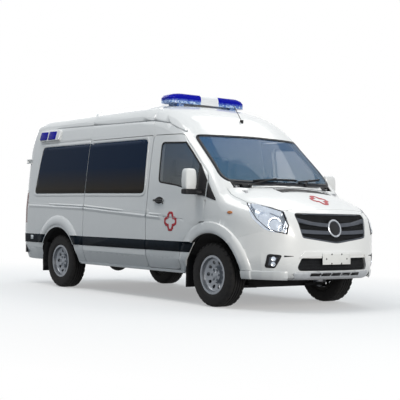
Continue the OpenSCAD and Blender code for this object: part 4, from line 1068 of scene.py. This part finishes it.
def swageHeight(x):
    line = swage["line"]
    for (x0, z0), (x1, z1) in zip(line, line[1:]):
        if x <= x1:
            return z0 + (z1 - z0) * (x - x0) / (x1 - x0)
    return line[-1][1]


def swagePart(name, node, sign, rear, front, body, fade):
    tree = treeOf(node)

    def place(share, row):
        x = rear + (front - rear) * share
        z = swageHeight(x) + row[0]
        spot = sideSpot(tree, x, z, sign)
        ease = min(1.0, (1 - share) * 4) if fade else 1.0
        wide = spot.y * sign if spot else 0.985
        return at(x, sign * (wide + 0.0004 + row[1] * ease), z)

    bm = band(60, swage["rows"], place)
    faceAway(bm, (0, -sign, 0))
    finishPiece(name, bm, "white_paint", body=body, degrees=24)


for side, sign in sides:
    if sign < 0:
        swagePart("swage_quarter_" + side, "side_right", sign, -4.130, -2.668, "van_body", False)
        swagePart("swage_slider_" + side, "sliding_door", sign, -2.650, -1.240, "van_body", False)
    else:
        swagePart("swage_side_" + side, "side_left", sign, -4.130, -1.240, "van_body", False)
    swagePart("swage_door_" + side, "front_door_" + side, sign, -1.212, -0.880, "front_door_" + side, True)
print("swage laid")

# rocker skirt under the doors
skirt = {"rear": -2.800, "front": -0.500, "top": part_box("front_door_right")[0].z - 0.008, "probe": 0.410,
         "rows": [(0.0, -0.010), (-0.004, -0.006), (-0.026, -0.008), (-0.030, -0.014), (-0.030, -0.060)]}
for side, sign in sides:
    sill = treeOf("side_" + side, "front_door_" + side, *(["sliding_door"] if sign < 0 else []))

    def skirtSpot(share, row):
        x = skirt["rear"] + (skirt["front"] - skirt["rear"]) * share
        spot = sideSpot(sill, x, skirt["probe"], sign)
        wide = spot.y * sign if spot else 0.95
        return at(x, sign * (wide + row[1]), skirt["top"] + row[0])

    bm = band(40, skirt["rows"], skirtSpot)
    bmesh.ops.recalc_face_normals(bm, faces=bm.faces)
    finishPiece("rocker_skirt_" + side, bm, "white_paint", wall=0.003, outward=0)
print("skirts set")

# lower edge of the bumper round the corners, its rows laid out from one line on the bumper
valance = {"rows": [(valanceTop, 0.0004), (0.426, 0.010), (0.400, 0.008), (0.362, 0.001), (0.340, -0.012)],
           "from": 22, "to": 88.5, "hub": 0.45, "reach": 1.2}
bumper = treeOf("front_bumper")
for side, sign in sides:

    def hubAt(z):
        return at(valance["hub"], sign * valance["hub"], z)

    def valanceSpot(share, row):
        turn = math.radians(valance["from"] + (valance["to"] - valance["from"]) * share)
        out = Vector((math.cos(turn), sign * math.sin(turn), 0))
        start = hubAt(valanceTop) + out * 1.5
        spot = bumper.ray_cast(start, -out)[0] or start
        ease = min(1.0, max(share * 6, 0.04)) if row[1] > 0 else 1.0
        return spot + out * row[1] * ease + Vector((0, 0, row[0] - valanceTop))

    bm = band(40, valance["rows"], valanceSpot)
    away = [vert for vert in bm.verts if (vert.co - hubAt(vert.co.z)).length > valance["reach"]]
    bmesh.ops.delete(bm, geom=away, context="VERTS")
    bm.normal_update()
    turned = [face for face in bm.faces if face.normal.dot(face.calc_center_median() - hubAt(0.38)) < 0]
    bmesh.ops.reverse_faces(bm, faces=turned)
    finishPiece("bumper_valance_" + side, bm, "white_paint", degrees=24)
print("valance set")

# body side between the front door's edge and the wheel, with the end of the strip; rear wheels' liners
tail = {"gap": 0.583, "probe": -0.62, "lift": 0.0015, "wall": 0.010,
        "front": [(0.352, -0.505), (0.400, -0.478), (0.450, -0.452), (0.500, -0.420), (0.550, -0.385),
                  (0.590, -0.359), (0.650, -0.315), (0.704, -0.268)]}
liner = {"radius": 0.462, "from": 148, "to": 194, "rows": [0.640, 0.800, 0.952]}


def tailPiece(name, side, sign, low, high, slot, look=None, **wall):
    skin = treeOf("front_door_" + side, "side_" + side)
    bm = bmesh.new()
    chains = []
    for share in (0.0, 0.25, 0.5, 0.75, 1.0):
        verts = []
        for z, front in tail["front"]:
            if low <= z <= high:
                rear = -math.sqrt(tail["gap"] ** 2 - (z - wheelHeight) ** 2)
                y = sideSpot(skin, tail["probe"], max(z, 0.39), sign).y + sign * tail["lift"]
                verts.append(bm.verts.new(at(rear + (front - rear) * share, y, z)))
        chains.append([bm.edges.new(pair) for pair in zip(verts, verts[1:])])
    for pair in zip(chains, chains[1:]):
        bmesh.ops.bridge_loops(bm, edges=pair[0] + pair[1])
    faceAway(bm, (0, -sign, 0))
    finishPiece(name, bm, slot, look, **wall)


for side, sign in sides:
    tailPiece("wing_tail_" + side, side, sign, 0.3, 0.8, "white_paint", wall=tail["wall"], outward=-1)
    tailPiece("strip_tail_" + side, side, sign, strip["low"], strip["high"], "black_plastic", "strip",
              wall=strip["proud"] - tail["lift"])

    def linerSpot(share, row):
        turn = math.radians(liner["from"] + (liner["to"] - liner["from"]) * share)
        along, rise = liner["radius"] * math.cos(turn), liner["radius"] * math.sin(turn)
        return Vector((rearAxle + along, sign * row, wheelHeight + rise))

    bm = band(16, liner["rows"], linerSpot)
    finishPiece("rear_liner_" + side, bm, "flap_rubber", wall=0.006, outward=0)
print("tails and liners set")

# corner beacons: pale housing with two blue lenses over the small ones
beacon = {"rear": -4.000, "front": -3.470, "low": 2.010, "high": 2.156, "lenses": (-3.884, -3.652),
          "wide": 0.190, "tall": 0.116, "housing": 0.042, "lens": 0.052}


def beaconPieces(side, sign):
    skin = treeOf("side_" + side, "roof")
    x0, x1 = beacon["rear"] - 0.05, beacon["front"] + 0.05
    z0, z1 = beacon["low"] - 0.012, beacon["high"] + 0.016
    ends = [sideSpot(skin, x, z, sign).y for x in (x0, x1) for z in (z0, z1)]

    def pad(name, rear, front, low, high, lift, radius, slot):
        corners = ((rear, low), (front, low), (front, high), (rear, high))
        bm = bmesh.new()
        bm.faces.new([bm.verts.new(spot) for spot in rounded([(at(x, 0, z), radius) for x, z in corners])])
        for vert in bm.verts:
            u, v = (vert.co.x - frontAxle - x0) / (x1 - x0), (vert.co.z - z0) / (z1 - z0)
            near = ends[0] * (1 - v) + ends[1] * v
            far = ends[2] * (1 - v) + ends[3] * v
            vert.co.y = near * (1 - u) + far * u + sign * lift
        faceAway(bm, (0, -sign, 0))
        finishPiece(name, bm, slot, wall=lift + 0.004, outward=-1, ease=0.007)

    pad("beacon_housing_" + side, beacon["rear"], beacon["front"], beacon["low"], beacon["high"],
        beacon["housing"], 0.03, "white_paint")
    middle = (beacon["low"] + beacon["high"]) / 2
    wide, tall = beacon["wide"] / 2, beacon["tall"] / 2
    for place, x in enumerate(beacon["lenses"]):
        pad("beacon_lens_%s_%d" % (side, place), x - wide, x + wide, middle - tall, middle + tall,
            beacon["lens"], 0.018, "lamp_blue")


for side, sign in sides:
    beaconPieces(side, sign)
print("beacons set")


# pale front part of the cowl, between the bonnet's rear edge and the black part
lid, pane, ledge = treeOf("bonnet"), treeOf("windscreen"), treeOf("cowl")
down = Vector((0, 0, -1))
cowlEdges = [[], []]


def onLedge(x, y):
    above = at(x, y, 2.6)
    isCovered = lid.ray_cast(above, down)[0] or pane.ray_cast(above, down)[0]
    return ledge.ray_cast(above, down)[0] and not isCovered


for step in range(-14, 15):
    y = step * 0.04
    seen = [x / 200 for x in range(-20, 80) if onLedge(x / 200, y)]
    if len(seen) > 2:
        cowlEdges[0].append(at(seen[-1], y, 1.6))
        cowlEdges[1].append(at(seen[-1] - 0.62 * (seen[-1] - seen[0]), y, 1.6))
film("cowl_front", cowlEdges, ledge, (0, 0, -1), "white_paint", thick=0.003, step=0.05, lift=0.001,
     chains=True)

# wipers at rest along the foot of the windscreen
wipers = [
    {"name": "right", "pivot": (0.170, -0.560), "blade": [(0.118, -0.470), (0.106, -0.11), (0.113, 0.20)]},
    {"name": "left", "pivot": (0.160, 0.30), "blade": [(0.126, 0.215), (0.094, 0.44), (0.040, 0.640)]},
]
glassTree = treeOf("windscreen", "cowl", "bonnet")


def onGlass(x, y, lift):
    spot = glassTree.ray_cast(at(x, y, 2.6), down)
    return spot[0] + spot[1] * lift


for wiper in wipers:
    blade = bmesh.new()
    ridge = [onGlass(x, y, 0.007) for x, y in wiper["blade"]]
    join(blade, tube(ridge, 0.006, 2))
    join(blade, tube([spot + Vector((0.004, 0, 0.010)) for spot in ridge], 0.0075, 2))
    pivot = onGlass(*wiper["pivot"], 0.006)
    middle = (ridge[0] + ridge[2]) / 2 * 0.5 + ridge[1] * 0.5 + Vector((0.004, 0, 0.020))
    elbow = (pivot + middle) / 2 + Vector((0.006, 0, 0.016))
    join(blade, tube([pivot + Vector((0, 0, 0.014)), elbow, middle], 0.008, 2))
    hub = [(0, 0.026), (0.014, 0.025), (0.018, 0.018), (0.019, -0.004)]
    join(blade, lathe(hub, pivot, (0.35, 0, 0.93), 16))
    finishPiece("wiper_" + wiper["name"], blade, "black_plastic")
print("wipers laid")


# mirrors: crowned shell, glass, and arm down to the door
mirror = {"x": -0.245, "z": 1.408, "wide": 0.172, "deep": 0.104, "tall": 0.246, "arm": 0.028}


def roundOff(piece, levels):
    smooth = piece.modifiers.new("round", "SUBSURF")
    smooth.levels = levels
    smooth.render_levels = levels


def gridCube():
    bm = bmesh.new()
    bmesh.ops.create_cube(bm, size=1.0)
    bmesh.ops.subdivide_edges(bm, edges=bm.edges[:], cuts=2, use_grid_fill=True)
    return bm


def mirrorPieces(side, sign):
    low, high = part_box("mirror_" + side)
    reach = max(abs(low.y), abs(high.y))
    door = "front_door_" + side
    tall = mirror["tall"]
    turned = Matrix.Rotation(math.radians(8), 4, "Z")

    def placeAt(x, inset, z):
        return at(mirror["x"] + x, -(reach - inset), mirror["z"] + z)

    shell = gridCube()
    for vert in shell.verts:
        x, y, z = vert.co * 2
        squeeze = 1 - 0.10 * z * z - 0.04 * max(z, 0)
        bulge = 1 - 0.22 * max(x, 0) * (y * y + z * z) * 0.5
        vert.co = (x * mirror["deep"] / 2 * bulge * (1 - 0.12 * z * z), y * mirror["wide"] / 2 * squeeze,
                   z * tall / 2)
    shell.transform(Matrix.Translation(placeAt(0, 0.083, 0)) @ turned)
    piece = finishPiece("mirror_shell_" + side, mirrored(shell, sign), "white_paint", body=door, degrees=60)
    roundOff(piece, 2)
    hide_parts("mirror_" + side)
    foot = gridCube()
    footPlace = Matrix.Translation(placeAt(0, 0.098, -tall / 2 - 0.012))
    foot.transform(footPlace @ Matrix.Diagonal((0.100, 0.196, 0.062, 1)))
    piece = finishPiece("mirror_foot_" + side, mirrored(foot, sign), "black_plastic", body=door, degrees=60)
    roundOff(piece, 2)
    spots = []
    for step in range(24):
        turn = math.tau * step / 24
        y = math.copysign(abs(math.cos(turn)) ** 0.6, math.cos(turn)) * 0.058
        z = math.copysign(abs(math.sin(turn)) ** 0.6, math.sin(turn)) * 0.100
        spots.append(Vector((0, y, z)))
    glass = plate(spots, Vector((-0.010, 0, 0)), 0.002, 1)
    glass.transform(Matrix.Translation(placeAt(-0.044, 0.083, 0)) @ turned)
    finishPiece("mirror_glass_" + side, mirrored(glass, sign), "bare_steel", "mirrorGlass", body=door)
    root = sideSpot(treeOf("front_door_right"), -0.190, 1.262, -1)
    base = placeAt(0, 0.090, -0.128)
    arm = tube([root + Vector((0, 0.004, 0)), root + Vector((-0.006, -0.030, 0.004)),
                base + Vector((0.01, 0.045, -0.006)), base + Vector((0, 0, 0.012))], mirror["arm"], 4)
    cup = [(0.0, 0.022), (0.040, 0.018), (0.052, 0.0), (0.040, -0.012), (0.0, -0.014)]
    join(arm, lathe(cup, base, (0, 0, 1), 20))
    finishPiece("mirror_arm_" + side, mirrored(arm, sign), "black_plastic", body=door, degrees=50)


for side, sign in sides:
    mirrorPieces(side, sign)
print("mirrors built")


# door handles: dark scoop, grip and lock
handle = {"x": -0.978, "z": 1.178, "long": 0.185}


def handlePieces(side, sign):
    skin = treeOf("front_door_right")
    door = "front_door_" + side
    scoop = bmesh.new()
    spots = []
    for step in range(28):
        turn = math.tau * step / 28
        rise = 0.032 * math.sin(turn) * (1 - 0.3 * math.cos(2 * turn))
        spots.append(at(handle["x"] + 0.098 * math.cos(turn), -1.2, handle["z"] + rise))
    scoop.faces.new([scoop.verts.new(spot) for spot in spots])
    slices(scoop, 0, 0.02)
    dropOn(scoop, skin, (0, 1, 0), 0.001)
    faceAway(scoop, (0, 1, 0))
    finishPiece("handle_scoop_" + side, mirrored(scoop, sign), "black_plastic", "seal", body=door,
                wall=0.0015)
    path = []
    for share in (-0.5, -0.46, -0.3, 0.0, 0.3, 0.46, 0.5):
        lift = 0.012 + 0.014 * (1 - (2 * share) ** 4)
        spot = sideSpot(skin, handle["x"] + share * handle["long"], handle["z"] - 0.04, -1)
        path.append(spot + Vector((0, -lift, 0.04)))
    grip = tube(path, 0.0115, 4)
    spot = sideSpot(skin, handle["x"] + 0.075, handle["z"] - 0.035, -1)
    join(grip, lathe([(0, 0.006), (0.008, 0.0055), (0.0105, 0.0)], spot, (0, -1, 0), 16))
    finishPiece("handle_grip_" + side, mirrored(grip, sign), "black_plastic", body=door, degrees=50)


for side, sign in sides:
    handlePieces(side, sign)
rearHandle = {"y": -0.085, "z": 1.020, "wide": 0.036, "tall": 0.085}
back = treeOf("rear_door_right")
loop = []
for y, z in ((-1, -1), (1, -1), (1, 1), (-1, 1)):
    spot = at(-4.5, rearHandle["y"] + y * rearHandle["wide"], rearHandle["z"] + z * rearHandle["tall"])
    loop.append((spot, 0.02))
loop = rounded(loop)
film("rear_handle_scoop", [loop], back, (1, 0, 0), "black_plastic", "seal", body="rear_door_right",
     thick=0.0015)
path = []
for share in (-0.5, -0.44, 0.0, 0.44, 0.5):
    spot = back.ray_cast(at(-5.5, rearHandle["y"], rearHandle["z"] + share * 0.14), Vector((1, 0, 0)))[0]
    path.append(spot - Vector((0.004 + 0.016 * (1 - (2 * share) ** 4), 0, 0)))
finishPiece("rear_handle_grip", tube(path, 0.010, 4), "black_plastic", body="rear_door_right", degrees=50)
print("handles fitted")


# seats: cushions, backs and headrests swollen by cloth simulation, on plain bases
seat = {"rear": -1.220, "floor": 0.600, "voxel": 0.016, "pressure": 4.0, "steps": 20, "cap": 0.024,
        "shrink": 0.012, "fill": 0.75, "channel": 0.008, "channelWidth": 0.014, "headWide": 0.26,
        "cushion": [(0.120, 0.232), (0.600, 0.236), (0.612, 0.345), (0.150, 0.352)],
        "back": [(0.130, 0.335), (0.268, 0.335), (0.168, 0.900), (0.045, 0.886)],
        "head": [(0.062, 0.880), (0.146, 0.890), (0.122, 1.105), (0.028, 1.088)],
        "base": [(0.170, 0.0), (0.540, 0.0), (0.540, 0.240), (0.170, 0.240)]}
seatPlaces = [{"name": "driver", "y": 0.430, "wide": 0.500, "heads": (0.0,)},
              {"name": "bench", "y": -0.310, "wide": 0.860, "heads": (-0.215, 0.215)}]


def seatLoop(profile, y, shrink):
    middle = sum((Vector(point) for point in profile), Vector((0, 0))) / len(profile)
    loop = []
    for point in profile:
        spot = Vector(point)
        spot += (middle - spot).normalized() * shrink
        loop.append(at(seat["rear"] + spot.x, y, seat["floor"] + spot.y))
    return loop


# block of even squares, ready to swell
def padBlank(profile, y, wide):
    half = wide / 2 - seat["shrink"]
    bm = plate(seatLoop(profile, y - half, seat["shrink"]), Vector((0, 2 * half, 0)), 0.028, 3)
    mesh = bpy.data.meshes.new("rough")
    bm.to_mesh(mesh)
    bm.free()
    rough = bpy.data.objects.new("rough", mesh)
    scene.collection.objects.link(rough)
    grid = rough.modifiers.new("grid", "REMESH")
    grid.mode = "VOXEL"
    grid.voxel_size = seat["voxel"]
    even = bpy.data.meshes.new_from_object(rough.evaluated_get(bpy.context.evaluated_depsgraph_get()))
    bpy.data.objects.remove(rough)
    bpy.data.meshes.remove(mesh)
    return even


def swell(meshes):
    holders = []
    for mesh in meshes:
        holder = bpy.data.objects.new("pad", mesh)
        scene.collection.objects.link(holder)
        cloth = holder.modifiers.new("swell", "CLOTH")
        cloth.settings.use_pressure = True
        cloth.settings.uniform_pressure_force = seat["pressure"]
        cloth.settings.effector_weights.gravity = 0
        cloth.collision_settings.use_collision = False
        holders.append(holder)
    for step in range(1, seat["steps"] + 1):
        scene.frame_set(step)
    view = bpy.context.evaluated_depsgraph_get()
    swollen = []
    for holder in holders:
        soft = bpy.data.meshes.new_from_object(holder.evaluated_get(view))
        for start, end in zip(holder.data.vertices, soft.vertices):
            move = end.co - start.co
            if move.length > seat["cap"]:
                end.co = start.co + move * (seat["cap"] / move.length)
        swollen.append(soft)
    for holder in holders:
        bpy.data.objects.remove(holder)
    scene.frame_set(1)
    return swollen


def padPiece(name, mesh, channels):
    bm = bmesh.new()
    bm.from_mesh(mesh)
    bm.normal_update()
    for vert in bm.verts:
        near = sum(math.exp(-((vert.co.y - y) / seat["channelWidth"]) ** 2) for y in channels)
        vert.co -= vert.normal * seat["channel"] * near
    piece = finishPiece(name, bm, "seat_fabric", degrees=180)
    roundOff(piece, 1)
    return piece


def seatPieces():
    jobs = []
    for place in seatPlaces:
        y, wide = place["y"], place["wide"]
        seams = [y - wide * 0.3, y + wide * 0.3] + ([y] if len(place["heads"]) > 1 else [])
        jobs.append((place["name"] + "_cushion", padBlank(seat["cushion"], y, wide), seams))
        jobs.append((place["name"] + "_back", padBlank(seat["back"], y, wide), seams))
        for turn, shift in enumerate(place["heads"]):
            head = padBlank(seat["head"], y + shift, seat["headWide"])
            jobs.append(("%s_headrest_%d" % (place["name"], turn), head, []))
        base = plate(seatLoop(seat["base"], y - wide * 0.4, 0.0), Vector((0, wide * 0.8, 0)), 0.012, 2)
        finishPiece(place["name"] + "_base", base, "cab_plastic")
    meshes = [mesh for name, mesh, seams in jobs]
    meshes = swell(meshes)
    pads = [padPiece(name, mesh, seams) for (name, rough, seams), mesh in zip(jobs, meshes)]
    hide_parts("seats")


seatPieces()
print("seats padded")


# wheels: hub cap, nuts and valve on the rims; tyres with grooves and shoulder blocks
wheel = {"nuts": 6, "nutRing": 0.060, "nutRadius": 0.0125, "capRadius": 0.036, "blocks": 60}


def tyreProfile(radius, half):
    rim = 0.2033
    shoulder = [(rim + rise, half - inset) for rise, inset in (
        (0, 0.0223), (0.014, 0.0223), (0.017, 0.010), (0.030, 0.004), (0.036, 0.0035), (0.039, 0.001),
        (0.060, 0), (0.085, 0.001))]
    shoulder += [(radius - fall, half - inset) for fall, inset in (
        (0.046, 0.003), (0.030, 0.005), (0.015, 0.012), (0.005, 0.024))]
    groove = radius - 0.010
    tread = []
    for low, high in ((0.060, 0.046), (0.022, 0.009)):
        tread += [(radius - 0.001, low + 0.0005), (groove, low - 0.0015), (groove, high + 0.0015),
                  (radius - 0.0002, high - 0.0005)]
    upper = shoulder + tread
    return upper + [(r, -h) for r, h in reversed(upper)]


def wheelPieces(end, side, sign):
    body = "wheel_%s_%s" % (end, side)
    low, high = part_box("tyre_%s_%s" % (end, side))
    centre = (low + high) / 2
    half = (high.y - low.y) / 2
    radius = (high.z - low.z) / 2
    bm = lathe(tyreProfile(radius, half), centre, (0, 1, 0), wheel["blocks"])
    blocks = []
    for face in bm.faces:
        spot = face.calc_center_median() - centre
        out = math.hypot(spot.x, spot.z)
        edge = half - abs(spot.y)
        if 0.005 < edge < 0.045 and out > radius - 0.028:
            step = int(round(math.atan2(spot.z, spot.x) / math.tau * wheel["blocks"] - 0.5)) % wheel["blocks"]
            if step % 2 == (0 if spot.y > 0 else 1):
                blocks.append(face)
    bmesh.ops.inset_region(bm, faces=blocks, thickness=0.003, depth=-0.006, use_even_offset=False)
    for vert in bm.verts:
        out = Vector((vert.co.x - centre.x, 0, vert.co.z - centre.z))
        if out.length > radius:
            vert.co -= out * (1 - radius / out.length)
    tyre = finishPiece("%s_tyre" % body, bm, "tyre", body=body, degrees=34)
    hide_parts("tyre_%s_%s" % (end, side))
    out = Vector((0, sign, 0))
    face = centre + out * 0.052
    fittings = bmesh.new()
    wide = wheel["nutRadius"]
    nut = [(0.0, 0.019), (0.007, 0.0185), (wide, 0.015), (wide, 0.0)]
    washer = [(wide + 0.005, 0.0), (wide + 0.004, 0.004), (0.006, 0.004)]
    for step in range(wheel["nuts"]):
        turn = math.tau * step / wheel["nuts"]
        spot = face + Vector((math.cos(turn), 0, math.sin(turn))) * wheel["nutRing"]
        join(fittings, lathe(nut, spot, out, 6))
        join(fittings, lathe(washer, spot, out, 16))
    wide = wheel["capRadius"]
    cap = [(0.0, 0.016), (0.022, 0.0145), (0.031, 0.010), (wide, 0.004), (wide + 0.004, 0.0)]
    join(fittings, lathe(cap, face, out, 24))
    valve = [centre + Vector((0.170, sign * 0.030, 0.0)), centre + Vector((0.178, sign * 0.055, 0.0))]
    join(fittings, tube(valve, 0.004, 2, False))
    finishPiece(body + "_fittings", fittings, "wheel_silver", body=body, degrees=35)


for end in ("front", "rear"):
    for side, sign in sides:
        wheelPieces(end, side, sign)
print("wheels dressed")


# plain pale floor and soft studio light
stage = {"floorHalf": 90.0, "floorColour": 0.06, "paleFloor": 0.9, "near": 3.2, "far": 8.5, "sky": 0.40,
         "skyColour": (0.68, 0.85, 1.0, 1)}
lamps = [
    {"name": "frontKey", "place": (13.0, -2.0, 3.4), "aim": (1.5, 0, 1.0), "size": 4.0, "power": 940,
     "colour": (1.0, 0.95, 0.88)},
    {"name": "topRight", "place": (-0.8, -4.2, 10.2), "aim": (-0.5, 0, 1.2), "size": 5.0, "power": 425,
     "colour": (1.0, 0.97, 0.93)},
    {"name": "topLeft", "place": (-0.8, 5.0, 9.5), "aim": (-0.5, 0, 1.2), "size": 5.0, "power": 180,
     "colour": (1.0, 0.97, 0.93)},
    {"name": "rearFill", "place": (-11.0, 3.0, 5.0), "aim": (-1.0, 0, 1.2), "size": 7.0, "power": 320,
     "colour": (1.0, 0.97, 0.93)},
]


# 1 for rays by which the eye, a mirror or clear glass sees, 0 for those of the lighting
def seenRays(tree):
    path = tree.nodes.new("ShaderNodeLightPath")
    seen = Wire(tree, path.outputs["Is Camera Ray"]) + Wire(tree, path.outputs["Is Glossy Ray"])
    return seen + Wire(tree, path.outputs["Is Transmission Ray"])


def paleFloor():
    finish = Finish("pale floor", Roughness=0.9, Specular_IOR_Level=0.1)
    tree = finish.tree
    seen = seenRays(tree)
    dim, pale = (rgb(tone, tone, tone) for tone in (stage["floorColour"], stage["paleFloor"]))
    finish.feed("Base Color", finish.mix(seen, dim, pale))
    x, y, z = finish.axes()
    spread = finish.node("ShaderNodeMath", {"operation": "SQRT"}, {0: x * x + y * y * 2.2})
    share = (spread - stage["near"]) * (1 / (stage["far"] - stage["near"]))
    fade = finish.ramp(share, [(0.0, rgb(0.35, 0.35, 0.35)), (1.0, white)])
    glow = finish.node("ShaderNodeEmission", None, {"Color": white, "Strength": 1.0})
    blend = tree.nodes.new("ShaderNodeMixShader")
    tree.links.new((seen * fade).socket, blend.inputs[0])
    tree.links.new(finish.shader.outputs[0], blend.inputs[1])
    tree.links.new(glow.socket, blend.inputs[2])
    tree.links.new(blend.outputs[0], tree.nodes["Material Output"].inputs[0])
    return finish.material


def makeStage():
    bm = bmesh.new()
    bmesh.ops.create_grid(bm, x_segments=1, y_segments=1, size=stage["floorHalf"])
    mesh = bpy.data.meshes.new("floor")
    bm.to_mesh(mesh)
    bm.free()
    floor = bpy.data.objects.new("floor", mesh)
    mesh.materials.append(paleFloor())
    scene.collection.objects.link(floor)
    world = bpy.data.worlds.new("studio")
    scene.world = world
    world.use_nodes = True
    tree = world.node_tree
    sky = tree.nodes["Background"]
    sky.inputs["Color"].default_value = stage["skyColour"]
    sky.inputs["Strength"].default_value = stage["sky"]
    backdrop = tree.nodes.new("ShaderNodeBackground")
    backdrop.inputs["Color"].default_value = white
    blend = tree.nodes.new("ShaderNodeMixShader")
    tree.links.new(seenRays(tree).socket, blend.inputs[0])
    tree.links.new(sky.outputs[0], blend.inputs[1])
    tree.links.new(backdrop.outputs[0], blend.inputs[2])
    tree.links.new(blend.outputs[0], tree.nodes["World Output"].inputs[0])
    for lamp in lamps:
        light = bpy.data.lights.new(lamp["name"], "AREA")
        light.energy = lamp["power"]
        light.size = lamp["size"]
        light.color = lamp["colour"]
        holder = bpy.data.objects.new(lamp["name"], light)
        holder.location = lamp["place"]
        aim = Vector(lamp["aim"]) - holder.location
        holder.rotation_euler = aim.to_track_quat("-Z", "Y").to_euler()
        scene.collection.objects.link(holder)


makeStage()
print("stage lit")
